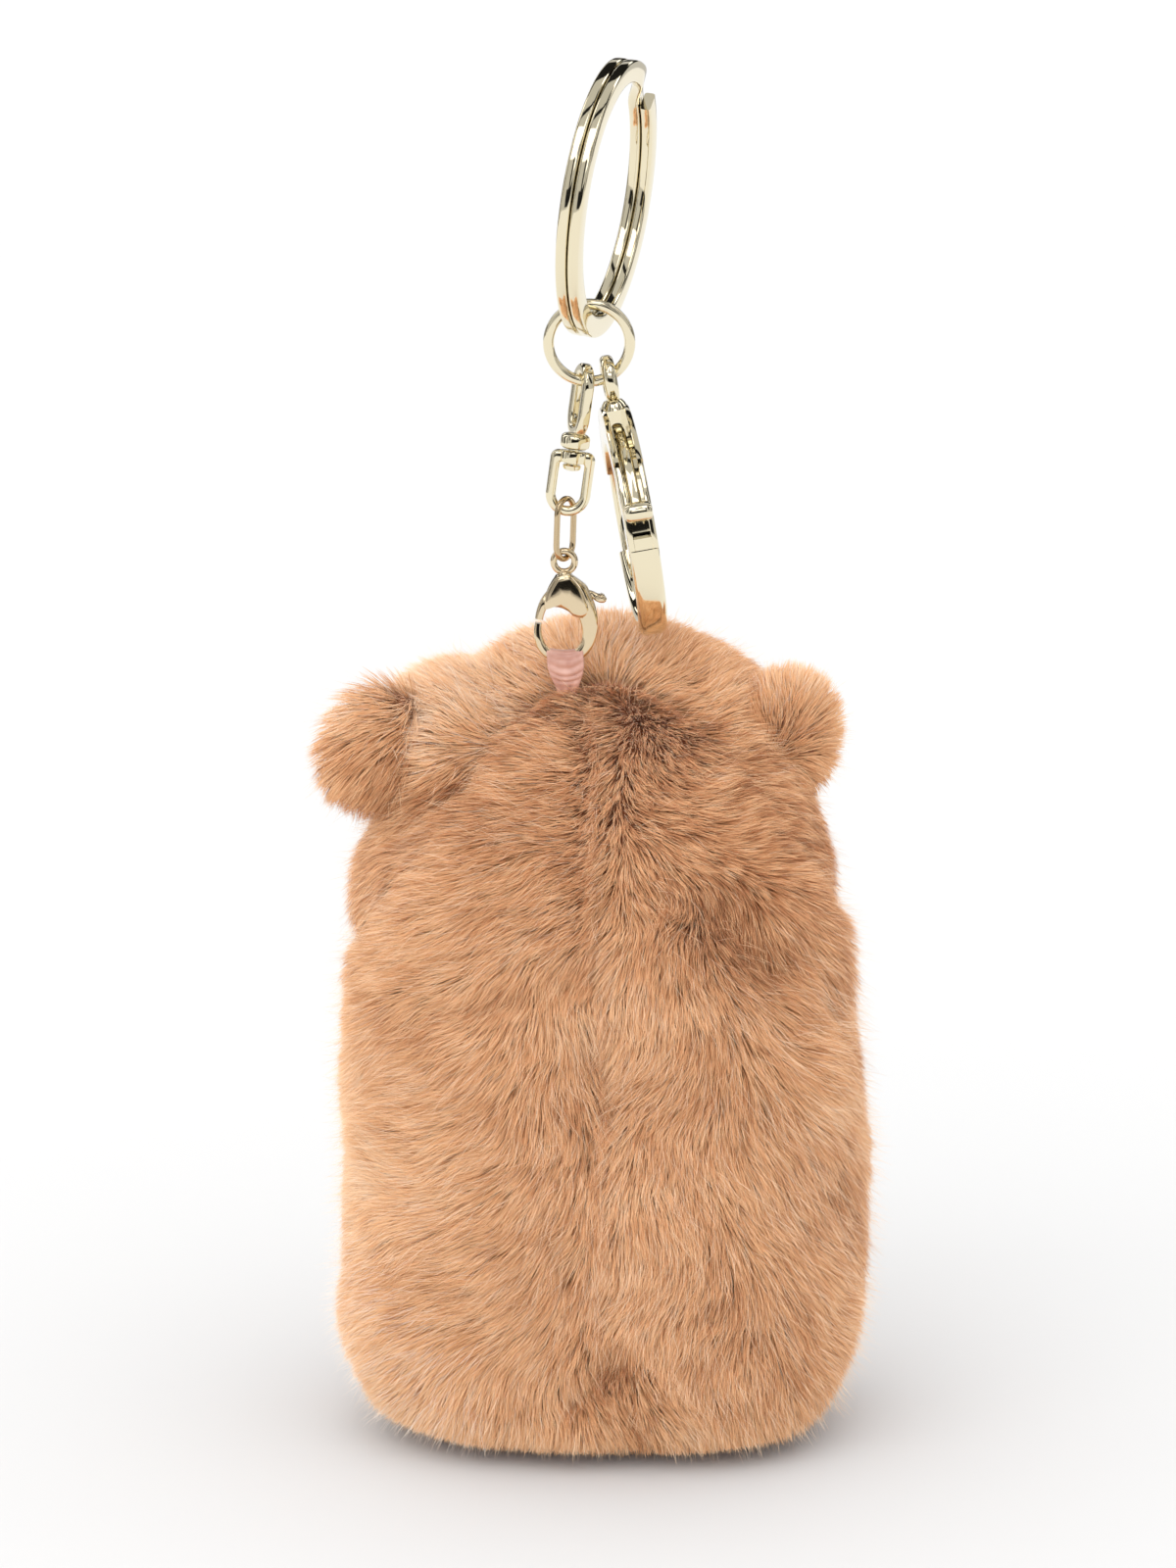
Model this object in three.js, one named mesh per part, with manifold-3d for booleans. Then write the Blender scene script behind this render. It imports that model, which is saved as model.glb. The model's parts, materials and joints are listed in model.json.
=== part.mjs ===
// Plush keychain: a small fur-fabric animal that hangs from a split ring by a swivel chain, with a
// round trigger clip on the same jump ring. Millimetres, +Z up. The animal faces -Y, so its back is
// on the +Y side and its left ear on the +X side.
// Everything is placed above the plane z = 0 that the animal's flat base touches, and the finished
// group is then moved so that its origin is inside the top of the split ring, where a hook bears.
import * as THREE from "three";
import { mergeVertices } from "three/addons/utils/BufferGeometryUtils.js";
import Module from "manifold-3d";

const wasm = await Module();
wasm.setup();

// ---------------------------------------------------------------- driving dimensions
const GAP = 0.3; // between sewn pieces that touch
const FIT = 0.1; // between metal pieces that turn on each other
const PIN_PLAY = 0.06; // round a pin in its bore

// Metal. Angles are in degrees; at is a place on the jump ring's wire, from its lowest point to +X.
const RING = { od: 30, wide: 2.4, coil: 1.2, groove: 0.12, cross: 118 };
const RING_PLACE = { centre: [-0.4, 5, 137.9], lean: -8, turn: -15 };
const JUMP = { od: 10, wire: 1.2, slack: 0.6, tip: -12 };
const EYE = { wire: 1.2, width: 5, height: 8.2, at: 8, twist: 15, collar: 1.6, stem: 0.6, head: 1 };
const LINK = { width: 4.9, height: 7.2, wire: 1.1, thick: 1.3, boss: 1.5 };
const OVAL = { width: 4, height: 7.4, wire: 0.76, twist: -35 };
const LOBSTER = { thick: 2, width: 6.6, length: 11.4, eye: 1.15, eyeWire: 0.36, slot: 1.1, pin: 0.35 };
const CLIP = { outer: 12.4, inner: 10.4, thick: 3.2, eye: 1.85, eyeWire: 0.75, at: -29, lean: 10.2 };
const HOUSING = { outer: 13, inner: 9, floor: 9.5, channel: 1.5, from: -4, to: 152 };
const LEVER = { thick: 1.3, pivotAngle: 125, pivotRadius: 11.3, pin: 0.55, tip: 211 };
const KNOB = { angle: 14, rivet: 0.45 };

// The animal.
const BODY = { halfWidth: 27.3, halfDepth: 21.5, top: 86.2, middle: 42, cloth: 2.2 };
const CROWN = { slope: 0.66, seam: 84, fall: 0.045 };
const EAR = { radius: 5.9, thick: 2.1 };
const EAR_PLACES = { left: { at: [23.9, 3, 76.6], turn: 12 }, right: { at: [-21, -0.5, 78], turn: 52 } };
const EYE_SPOT = { x: 12.5, z: 66, dome: 2.3, stem: 0.9, washer: 3 };
const MUZZLE = { at: [0, -19.5, 57.5], half: [11.5, 8.5, 8.5] };
const RIBBON = { thick: 0.36, top: 1.35, base: 1.2, drop: 3.1, tail: 5 };

const GOLD = { color: 0xd9c68f, roughness: 0.16, metalness: 1 };
const DARK_GOLD = { color: 0xb79a66, roughness: 0.3, metalness: 1 };
const STEEL = { color: 0xb9b6ae, roughness: 0.35, metalness: 1 };
const FUR = { color: 0xcc966a, roughness: 0.95, metalness: 0 };
const PALE_FUR = { color: 0xdeb494, roughness: 0.95, metalness: 0 };
const FILL = { color: 0xf1eee8, roughness: 1, metalness: 0 };
const SATIN = { color: 0xd9a99b, roughness: 0.4, metalness: 0 };
const BLACK = { color: 0x16120f, roughness: 0.15, metalness: 0 };
const WASHER = { color: 0xd8d8d4, roughness: 0.6, metalness: 0 };

const rad = THREE.MathUtils.degToRad;
const polar = (radius, degrees) => [radius * Math.cos(rad(degrees)), radius * Math.sin(rad(degrees))];

// ---------------------------------------------------------------- solids and cuts
function solidOf(geometry) {
  const plain = geometry.clone();
  plain.deleteAttribute("normal");
  plain.deleteAttribute("uv");
  const merged = mergeVertices(plain, 1e-4);
  const mesh = new wasm.Mesh({
    numProp: 3,
    vertProperties: merged.attributes.position.array,
    triVerts: new Uint32Array(merged.index.array),
  });
  return new wasm.Manifold(mesh);
}

function geometryOf(solid) {
  const { vertProperties, triVerts } = solid.getMesh();
  const geometry = new THREE.BufferGeometry();
  geometry.setAttribute("position", new THREE.BufferAttribute(vertProperties, 3));
  geometry.setIndex(new THREE.BufferAttribute(triVerts, 1));
  geometry.computeVertexNormals();
  return geometry;
}

const joined = (first, ...rest) => rest.reduce((sum, next) => sum.add(next), first);
const without = (first, ...rest) => rest.reduce((left, next) => left.subtract(next), first);

// A cut can leave a sliver beside the piece: this keeps the piece.
const largest = (solid) => solid.decompose().sort((a, b) => b.volume() - a.volume())[0];

function mesh(name, shape, look) {
  const geometry = shape.isBufferGeometry ? shape : geometryOf(shape);
  const made = new THREE.Mesh(geometry, new THREE.MeshStandardMaterial(look));
  made.name = name;
  return made;
}

// A plate cut from a flat outline and rounded along its edges. It stands across X or across Y: the
// outline's first axis becomes Y or X, and its second becomes Z.
const ACROSS_X = new THREE.Matrix4().makeBasis(
  new THREE.Vector3(0, 1, 0),
  new THREE.Vector3(0, 0, 1),
  new THREE.Vector3(1, 0, 0),
);
const ACROSS_Y = new THREE.Matrix4().makeBasis(
  new THREE.Vector3(1, 0, 0),
  new THREE.Vector3(0, 0, 1),
  new THREE.Vector3(0, -1, 0),
);

function plate(shape, thick, bevel, across, curveSegments = 8) {
  const geometry = new THREE.ExtrudeGeometry(shape, {
    depth: thick - 2 * bevel,
    bevelEnabled: bevel > 0,
    bevelThickness: bevel,
    bevelSize: bevel,
    bevelOffset: -bevel,
    bevelSegments: 1,
    curveSegments,
  });
  geometry.translate(0, 0, bevel - thick / 2);
  return geometry.applyMatrix4(across);
}

// A cylinder along X, Y or Z, from its middle.
function rod(radius, length, axis, [x, y, z], sides = 16) {
  const geometry = new THREE.CylinderGeometry(radius, radius, length, sides);
  if (axis === "x") geometry.rotateZ(Math.PI / 2);
  if (axis === "z") geometry.rotateX(Math.PI / 2);
  return geometry.translate(x, y, z);
}

function box([x0, y0, z0], [x1, y1, z1]) {
  const geometry = new THREE.BoxGeometry(x1 - x0, y1 - y0, z1 - z0);
  return solidOf(geometry.translate((x0 + x1) / 2, (y0 + y1) / 2, (z0 + z1) / 2));
}

function ellipsoid([rx, ry, rz], [x, y, z], [across, down] = [20, 14]) {
  return new THREE.SphereGeometry(1, across, down).scale(rx, ry, rz).translate(x, y, z);
}

// A closed outline with straight sides and round ends, centred on (0, middle).
function roundEnded(path, width, height, middle) {
  const r = width / 2;
  path.absarc(0, middle + height / 2 - r, r, 0, Math.PI);
  path.absarc(0, middle - height / 2 + r, r, Math.PI, 2 * Math.PI);
  path.closePath();
  return path;
}

function loopShape(width, height, wire, middle) {
  const shape = roundEnded(new THREE.Shape(), width, height, middle);
  shape.holes.push(roundEnded(new THREE.Path(), width - 2 * wire, height - 2 * wire, middle));
  return shape;
}

// Part of a flat ring between two radii and two angles.
function arcShape(inner, outer, from, to) {
  const shape = new THREE.Shape();
  shape.absarc(0, 0, outer, rad(from), rad(to));
  shape.absarc(0, 0, inner, rad(to), rad(from), true);
  shape.closePath();
  return shape;
}

// ---------------------------------------------------------------- split ring
const ringRadius = (RING.od - RING.wide) / 2;

// The wire's middle: two flat coils side by side, joined by a short crossing near the top.
class SplitRingPath extends THREE.Curve {
  getPoint(t, target = new THREE.Vector3()) {
    const crossing = 14; // degrees from the crossing's middle to either coil's free end
    const side = (RING.coil + RING.groove) / 2;
    const turned = crossing + t * (720 - 2 * crossing);
    const into = THREE.MathUtils.smoothstep(turned, 360 - crossing, 360 + crossing);
    const [y, z] = polar(ringRadius, RING.cross + turned);
    return target.set(side * (2 * into - 1), y, z);
  }
}

function splitRing() {
  const [w, h, chamfer] = [RING.wide / 2, RING.coil / 2, 0.28];
  const section = new THREE.Shape();
  const half = [[w - chamfer, -h], [w, chamfer - h], [w, h - chamfer], [w - chamfer, h]];
  const corners = [...half, ...half.map(([x, y]) => [-x, -y])];
  section.setFromPoints(corners.map(([x, y]) => new THREE.Vector2(x, y)));
  const geometry = new THREE.ExtrudeGeometry(section, { steps: 76, extrudePath: new SplitRingPath() });
  return mesh("split_ring", geometry, GOLD);
}

// ---------------------------------------------------------------- swivel and links
// Each hangs with its pivot, the wire that it hangs on, at its own origin.
const jumpRadius = (JUMP.od - JUMP.wire) / 2;
const jumpDrop = jumpRadius - JUMP.wire / 2 - RING.wide / 2 - JUMP.slack;

function jumpRing() {
  const geometry = new THREE.TorusGeometry(jumpRadius, JUMP.wire / 2, 8, 28);
  return mesh("jump_ring", geometry.rotateX(Math.PI / 2).translate(0, 0, -jumpDrop), GOLD);
}

const eyeTop = JUMP.wire / 2 + 0.15 + EYE.wire;
const eyeBottom = eyeTop - EYE.height;
const plateTop = eyeBottom - 1.45; // the swivel link's upper face
const plateThick = 1.3;

function swivelEye() {
  const outline = loopShape(EYE.width, EYE.height, EYE.wire, eyeTop - EYE.height / 2);
  const loop = plate(outline, EYE.wire, 0.3, ACROSS_X, 5);
  const collarTop = eyeBottom + 0.5;
  const collarBottom = plateTop + 0.25;
  const headTop = plateTop - plateThick - FIT - 0.1;
  const headBottom = headTop - 0.7;
  const turned = [
    [0, collarTop], [1.15, collarTop], [EYE.collar, collarTop - 0.45], [EYE.collar, collarBottom + 0.3],
    [1.3, collarBottom], [EYE.stem, collarBottom], [EYE.stem, headTop], [EYE.head, headTop],
    [EYE.head, headBottom + 0.3], [0.6, headBottom], [0, headBottom],
  ];
  const profile = turned.reverse().map(([r, z]) => new THREE.Vector2(r, z));
  const stem = new THREE.LatheGeometry(profile, 16).rotateX(Math.PI / 2);
  return mesh("swivel_eye", joined(solidOf(loop), solidOf(stem)), GOLD);
}

// A D-shaped frame with a thicker flat top, which the swivel eye's stem goes through.
function swivelLink() {
  const { width, height, wire, thick, boss } = LINK;
  const frame = (path, w, top, bottom, corner) => {
    path.moveTo(w / 2, top - corner);
    path.absarc(w / 2 - corner, top - corner, corner, 0, Math.PI / 2);
    path.absarc(corner - w / 2, top - corner, corner, Math.PI / 2, Math.PI);
    path.absarc(0, bottom + w / 2, w / 2, Math.PI, 2 * Math.PI);
    path.closePath();
    return path;
  };
  const shape = frame(new THREE.Shape(), width, plateTop, plateTop - height, 0.9);
  const [holeTop, holeBottom] = [plateTop - plateThick, plateTop - height + wire];
  shape.holes.push(frame(new THREE.Path(), width - 2 * wire, holeTop, holeBottom, 0.3));
  const top = rod(boss, plateThick, "z", [0, 0, plateTop - plateThick / 2]);
  const bore = rod(EYE.stem + 0.15, plateThick + 2, "z", [0, 0, plateTop - plateThick / 2]);
  const solid = joined(solidOf(plate(shape, thick, 0.35, ACROSS_Y, 5)), solidOf(top));
  return mesh("swivel_link", solid.subtract(solidOf(bore)), GOLD);
}

const linkWire = plateTop - LINK.height + LINK.wire / 2; // the middle of the link's bottom wire
const ovalTop = 0.95 + OVAL.wire;
const ovalWire = ovalTop - OVAL.height + OVAL.wire / 2;

function ovalLink() {
  const shape = loopShape(OVAL.width, OVAL.height, OVAL.wire, ovalTop - OVAL.height / 2);
  const made = mesh("oval_link", plate(shape, OVAL.wire, 0.22, ACROSS_X, 5), DARK_GOLD);
  made.rotation.z = rad(OVAL.twist);
  return made;
}

// ---------------------------------------------------------------- lobster clasp
// Its eye hangs on the oval link at the origin. The gate is on its +X side and the thumb tail on -X.
const claw = { middle: -8.1, radius: LOBSTER.width / 2, hole: [2.2, 2.3], pin: [-0.2, -3.3] };
const clawWire = -LOBSTER.length + 0.45; // the middle of the wire that the ribbon loops round

function lobsterBody() {
  const { middle, radius, hole, pin } = claw;
  const outline = new THREE.Shape();
  const [sideX, sideZ] = polar(radius, 22);
  outline.moveTo(-0.6, -1.5);
  outline.bezierCurveTo(-1.3, -3.4, -sideX, middle + sideZ + 2, -sideX, middle + sideZ);
  outline.absarc(0, middle, radius, rad(158), rad(382));
  outline.bezierCurveTo(sideX, middle + sideZ + 2, 1.3, -3.4, 0.6, -1.5);
  outline.closePath();
  const opening = new THREE.Path();
  opening.absellipse(0, middle, hole[0], hole[1], 0, 2 * Math.PI);
  outline.holes.push(opening);
  // The mouth that the gate shuts. Its lower edge slants, so that the gate clears it on its way in.
  const mouth = new THREE.Shape();
  mouth.moveTo(0.35, -3.6);
  mouth.lineTo(4.2, -3.6);
  mouth.lineTo(4.2, -5.2);
  mouth.lineTo(1.6, -8);
  mouth.lineTo(0.35, -8);
  mouth.closePath();
  const eye = new THREE.TorusGeometry(LOBSTER.eye, LOBSTER.eyeWire, 8, 20);
  eye.rotateX(Math.PI / 2).translate(0, 0, -0.3);
  const slot = LOBSTER.slot / 2;
  const solid = joined(solidOf(plate(outline, LOBSTER.thick, 0.38, ACROSS_Y, 7)), solidOf(eye));
  return mesh(
    "lobster_body",
    without(
      solid,
      solidOf(plate(mouth, 4, 0, ACROSS_Y)),
      box([-4, -slot, -4.6], [4, slot, -2.3]), // the slot that the lever turns in
      box([-1.2, -slot, -6.2], [4, slot, -2.3]),
      solidOf(rod(LOBSTER.pin + PIN_PLAY, 4, "y", [pin[0], 0, pin[1]], 12)),
    ),
    GOLD,
  );
}

// One stamped lever: a gate arm that reaches down to the claw's tip, and a tail for the thumbnail.
function lobsterLever() {
  const [px, pz] = claw.pin;
  const outline = new THREE.Shape();
  outline.moveTo(px - 0.7, pz + 0.3);
  outline.quadraticCurveTo(px, pz + 1.3, px + 1.1, pz + 0.2);
  outline.quadraticCurveTo(2.6, -4.5, 3.2, -5.85);
  outline.lineTo(2.35, -6.75);
  outline.quadraticCurveTo(1.7, -5.1, px + 0.5, pz - 0.8);
  outline.quadraticCurveTo(px - 0.6, pz - 1.1, -2.4, pz - 0.95);
  outline.quadraticCurveTo(-3.4, pz - 0.9, -4.1, pz - 1.35);
  outline.quadraticCurveTo(-4.7, pz - 1, -4.2, pz - 0.5);
  outline.quadraticCurveTo(-3.2, pz, -2.4, pz - 0.05);
  outline.closePath();
  const arm = new THREE.Shape();
  arm.moveTo(1.5, -4.05);
  arm.quadraticCurveTo(2.7, -4.75, 3.2, -5.85);
  arm.lineTo(2.35, -6.75);
  arm.quadraticCurveTo(1.9, -5.5, 0.9, -4.75);
  arm.closePath();
  const solid = joined(
    solidOf(plate(outline, LOBSTER.slot - 0.3, 0.12, ACROSS_Y, 4)),
    solidOf(plate(arm, 1.6, 0.3, ACROSS_Y, 4)),
  );
  const bore = solidOf(rod(LOBSTER.pin + PIN_PLAY, 4, "y", [px, 0, pz], 12));
  return mesh("lobster_lever", solid.subtract(bore), GOLD);
}

function lobsterPin() {
  const [x, z] = claw.pin;
  return mesh("lobster_pin", rod(LOBSTER.pin, LOBSTER.thick + 0.1, "y", [x, 0, z], 12), STEEL);
}

// A bent leaf in the slot, from the clasp's spine to the underside of the gate arm.
function lobsterSpring() {
  const leaf = new THREE.Shape();
  leaf.moveTo(-1.05, -5.95);
  leaf.quadraticCurveTo(-0.95, -4.8, 0.15, -4.75);
  leaf.lineTo(0.15, -4.95);
  leaf.quadraticCurveTo(-0.75, -5, -0.85, -5.95);
  leaf.closePath();
  return mesh("lobster_spring", plate(leaf, 0.6, 0, ACROSS_Y, 4), STEEL);
}

// ---------------------------------------------------------------- round trigger clip
// Its eye hangs on the jump ring at the origin. The ring's near side, with the channel for the
// lever's tail, is on +Y; the gate is on -Y. Angles are counted from +Y towards +Z round its centre.
const eyeLow = 0.38; // the eye's middle is this far under the wire that it hangs on
const clipCentre = -CLIP.eye - eyeLow - HOUSING.outer - 1.07;

// The lever and its pin turn about this point.
const leverPivot = polar(LEVER.pivotRadius, LEVER.pivotAngle);
const aroundClip = (geometry) => geometry.translate(0, 0, clipCentre);

// A block that ends along the slanting face where the gate meets the hook's tip, so that the gate
// moves away from the hook as it opens. above is how far the block's middle is over that face.
function tipCut(above) {
  const block = new THREE.BoxGeometry(8, 9, 8).translate(0, 0, above);
  const [y, z] = polar(CLIP.outer, LEVER.tip);
  return block.rotateX(rad(-19)).translate(0, y + 1, z - 0.35);
}

function clipBody() {
  const hook = plate(arcShape(CLIP.inner, CLIP.outer, -155, 5), CLIP.thick, 0.6, ACROSS_X, 9);
  const shoulder = plate(arcShape(HOUSING.inner, CLIP.outer, -8, 42), CLIP.thick, 0.4, ACROSS_X, 4);
  const housing = plate(arcShape(HOUSING.inner, HOUSING.outer, 40, 150), CLIP.thick, 0.4, ACROSS_X, 7);
  const channelShape = arcShape(HOUSING.floor, 15, HOUSING.from, HOUSING.to);
  const channel = plate(channelShape, HOUSING.channel, 0, ACROSS_X, 8);
  const pin = rod(LEVER.pin + PIN_PLAY, 6, "x", [0, ...leverPivot]);
  const shell = without(
    joined(...[hook, housing, shoulder].map((g) => solidOf(aroundClip(g)))),
    solidOf(aroundClip(tipCut(4 - GAP))),
    solidOf(aroundClip(channel)),
    solidOf(aroundClip(pin)),
  );
  const bridgeTop = clipCentre + HOUSING.outer + 0.4;
  const bridge = box([-1.5, -1.5, bridgeTop - 0.85], [1.5, 1.5, bridgeTop]);
  const eye = new THREE.TorusGeometry(CLIP.eye, CLIP.eyeWire, 8, 18);
  eye.rotateY(Math.PI / 2).translate(0, 0, -eyeLow);
  return mesh("clip_body", joined(shell, bridge, solidOf(eye)), GOLD);
}

// One cast lever: the gate on the far side, a hub on the pin, and a tail along the channel.
function clipLever() {
  const gate = plate(arcShape(10.7, 12.1, 153, LEVER.tip + 11), 2.3, 0.45, ACROSS_X, 5);
  const root = plate(arcShape(10.5, 12.1, 122, 158), LEVER.thick, 0.15, ACROSS_X, 3);
  const bar = plate(arcShape(9.95, 11, 52, 128), LEVER.thick, 0.2, ACROSS_X, 5);
  const tail = plate(arcShape(10.1, 11.5, 6, 56), LEVER.thick, 0.25, ACROSS_X, 4);
  const hub = rod(1.25, LEVER.thick, "x", [0, ...leverPivot]);
  const pin = rod(LEVER.pin + PIN_PLAY, 6, "x", [0, ...leverPivot]);
  const rivet = rod(KNOB.rivet + PIN_PLAY, 4, "y", [0, 11, 0], 12).rotateX(rad(KNOB.angle));
  return mesh(
    "clip_lever",
    without(
      joined(...[gate, root, bar, tail, hub].map((g) => solidOf(aroundClip(g)))),
      solidOf(aroundClip(tipCut(-4))),
      solidOf(aroundClip(pin)),
      solidOf(aroundClip(rivet)),
    ),
    GOLD,
  );
}

// The thumb knob: a rounded button on a short rivet that is set in the lever's tail.
function clipKnob() {
  const turned = [
    [0, 10.2], [KNOB.rivet, 10.2], [KNOB.rivet, 11.65], [0.62, 11.65], [0.62, 12.3], [1.05, 12.45],
    [1.4, 12.9], [1.45, 13.5], [1.1, 14.05], [0.5, 14.3], [0, 14.35],
  ];
  const profile = turned.map(([r, along]) => new THREE.Vector2(r, along));
  const knob = new THREE.LatheGeometry(profile, 16).scale(0.8, 1, 1);
  return mesh("clip_knob", aroundClip(knob.rotateX(rad(KNOB.angle))), GOLD);
}

function clipPin() {
  const pin = rod(LEVER.pin, CLIP.thick, "x", [0, ...leverPivot]);
  return mesh("clip_pin", aroundClip(pin), STEEL);
}

// The coil spring between the channel's floor and the gate arm's root, which shuts the gate.
class SpringPath extends THREE.Curve {
  getPoint(t, target = new THREE.Vector3()) {
    const turn = t * 3 * 2 * Math.PI;
    return target.set(0.38 * Math.cos(turn), HOUSING.floor + 0.2 + 0.62 * t, 0.38 * Math.sin(turn));
  }
}

function clipSpring() {
  const wire = new THREE.Shape().absarc(0, 0, 0.08, 0, 2 * Math.PI);
  const options = { steps: 24, curveSegments: 2, extrudePath: new SpringPath() };
  const coil = new THREE.ExtrudeGeometry(wire, options).rotateX(rad(143));
  return mesh("clip_spring", aroundClip(coil), STEEL);
}

// ---------------------------------------------------------------- plush animal
// The animal's outer shape: a tall rounded box, flat below, with a crown that rises towards the
// face. inset moves the surface inwards.
function bodyGeometry(inset) {
  const geometry = new THREE.SphereGeometry(1, 26, 18).rotateX(Math.PI / 2);
  const { position } = geometry.attributes;
  const v = new THREE.Vector3();
  for (let i = 0; i < position.count; i++) {
    v.fromBufferAttribute(position, i);
    const [ax, ay, az] = [Math.abs(v.x), Math.abs(v.y), Math.abs(v.z)];
    const round = v.z > 0 ? 3.05 : 5.5; // the bottom edge is squarer than the crown
    const flat = (ax ** 2.7 + ay ** 2.7) ** (1 / 2.7);
    v.multiplyScalar((flat ** round + az ** round) ** (-1 / round));
    const up = BODY.top - BODY.middle;
    const height = BODY.middle + (v.z > 0 ? up : BODY.middle + 2.5) * v.z;
    const taper = 1 - 0.04 * THREE.MathUtils.smoothstep(height, 30, 62);
    const x = v.x * (BODY.halfWidth - inset) * taper;
    const lean = 3.6 - 0.045 * Math.max(height, 0);
    const y = lean + v.y * (BODY.halfDepth - inset - 0.03 * Math.max(height, 0));
    const crown = Math.max(v.z, 0) ** 2 * CROWN.slope * y;
    const z = Math.max(height - crown - inset * v.z, inset);
    position.setXYZ(i, x, y, z);
  }
  return geometry;
}

// Everything under the crown seam, an arch that falls away to both sides.
function underCrownSeam(lift) {
  const shape = new THREE.Shape();
  const reach = 40;
  shape.moveTo(-reach, -10);
  shape.lineTo(reach, -10);
  for (let x = reach; x >= -reach; x -= 4) shape.lineTo(x, CROWN.seam + lift - CROWN.fall * x * x);
  shape.closePath();
  return solidOf(plate(shape, 120, 0, ACROSS_Y));
}

function fabricPanels(cuts) {
  const outer = solidOf(bodyGeometry(0));
  const shell = outer.subtract(solidOf(bodyGeometry(BODY.cloth)));
  const baseSlab = box([-40, -40, -1], [40, 40, BODY.cloth]);
  const aboveBase = box([-40, -40, BODY.cloth + GAP], [40, 40, 100]);
  const skirt = shell.intersect(underCrownSeam(0)).intersect(aboveBase);
  const crown = shell.subtract(underCrownSeam(GAP));
  const frontSeam = -6;
  const chin = 46;
  const regions = {
    back_panel_left: [[GAP / 2, frontSeam, 0], [40, 40, 100]],
    back_panel_right: [[-40, frontSeam, 0], [-GAP / 2, 40, 100]],
    face_panel: [[-40, -40, chin], [40, frontSeam - GAP, 100]],
    belly_panel: [[-40, -40, 0], [40, frontSeam - GAP, chin - GAP]],
  };
  const made = Object.entries(regions).map(([name, [low, high]]) =>
    mesh(name, largest(without(skirt.intersect(box(low, high)), ...cuts)), FUR),
  );
  return [
    ...made,
    mesh("crown_panel", largest(without(crown, ...cuts)), PALE_FUR),
    mesh("base_panel", outer.intersect(baseSlab), FUR),
  ];
}

// A round ear of two fabric pieces, sewn front to back, whose lower edge meets the head.
function ear(side) {
  const { radius, thick } = EAR;
  const { at, turn } = EAR_PLACES[side];
  const place = (geometry) => geometry.rotateZ(rad(turn)).translate(...at);
  const head = solidOf(bodyGeometry(-GAP));
  const back = place(ellipsoid([radius, thick, radius], [0, 0, 0], [16, 10]));
  const behind = solidOf(place(new THREE.BoxGeometry(20, 10, 20).translate(0, 5 + GAP / 2, 0)));
  const before = solidOf(place(new THREE.BoxGeometry(20, 10, 20).translate(0, -5 - GAP / 2, 0)));
  const whole = solidOf(back).subtract(head);
  return [
    mesh(`ear_${side}_back`, whole.intersect(behind), FUR),
    mesh(`ear_${side}_front`, whole.intersect(before), PALE_FUR),
  ];
}

// The face's surface at this place, found by a line through the outer shape.
function faceY(x, z) {
  const probe = new THREE.Raycaster(new THREE.Vector3(x, -60, z), new THREE.Vector3(0, 1, 0));
  const skin = new THREE.Mesh(bodyGeometry(0), new THREE.MeshBasicMaterial());
  return probe.intersectObject(skin)[0].point.y;
}

// A safety eye: a domed button whose stem goes through the face into a washer in the stuffing.
function safetyEye(side, sign) {
  const { x, z, dome, stem, washer } = EYE_SPOT;
  const y = faceY(sign * x, z);
  const turned = [
    [0, 1.3], [1.2, 1.05], [dome * 0.9, 0.35], [dome, -0.25], [dome * 0.9, -0.45],
    [stem, -0.45], [stem, -6.4], [0, -6.4],
  ];
  const profile = turned.map(([r, out]) => new THREE.Vector2(r, -out));
  const button = new THREE.LatheGeometry(profile, 12).translate(sign * x, y - 1, z);
  const ring = arcRing(stem + FIT, washer, 0.9).translate(sign * x, y + 4.2, z);
  return [mesh(`eye_${side}`, button, BLACK), mesh(`eye_washer_${side}`, ring, WASHER)];
}

function arcRing(inner, outer, thick) {
  const shape = new THREE.Shape().absarc(0, 0, outer, 0, 2 * Math.PI);
  shape.holes.push(new THREE.Path().absarc(0, 0, inner, 0, 2 * Math.PI));
  return plate(shape, thick, 0, ACROSS_Y, 6);
}

function eyePockets() {
  return [1, -1].flatMap((sign) => {
    const { x, z, stem, washer } = EYE_SPOT;
    const y = faceY(sign * x, z);
    return [
      solidOf(rod(stem + 0.25, 20, "y", [sign * x, y + 2, z])),
      solidOf(rod(washer + GAP, 2.4, "y", [sign * x, y + 4.4, z])),
    ];
  });
}

function muzzleAndNose() {
  const [x, y, z] = MUZZLE.at;
  const head = solidOf(bodyGeometry(-GAP));
  const shape = (grow) => solidOf(ellipsoid(MUZZLE.half.map((h) => h + grow), [x, y, z], [18, 12]));
  const muzzle = shape(0).subtract(head);
  const nose = solidOf(ellipsoid([3.4, 2.2, 2.4], [x, y - 7.4, z + 3.6], [12, 8])).subtract(shape(0.15));
  return [mesh("muzzle", muzzle, PALE_FUR), mesh("nose", nose, BLACK)];
}

// Short arms and feet: stuffed pads sewn on the front.
function limbs() {
  const head = solidOf(bodyGeometry(-GAP));
  return [["left", 1], ["right", -1]].flatMap(([side, sign]) => {
    const arm = ellipsoid([4, 4.2, 8], [0, 0, 0], [12, 10]).rotateY(rad(-22 * sign));
    const foot = ellipsoid([6, 6, 4.2], [sign * 12.5, -19, 4.6], [14, 10]);
    return [
      mesh(`arm_${side}`, solidOf(arm.translate(sign * 19.5, -14.5, 37)).subtract(head), FUR),
      mesh(`foot_${side}`, solidOf(foot).subtract(head), PALE_FUR),
    ];
  });
}

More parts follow.
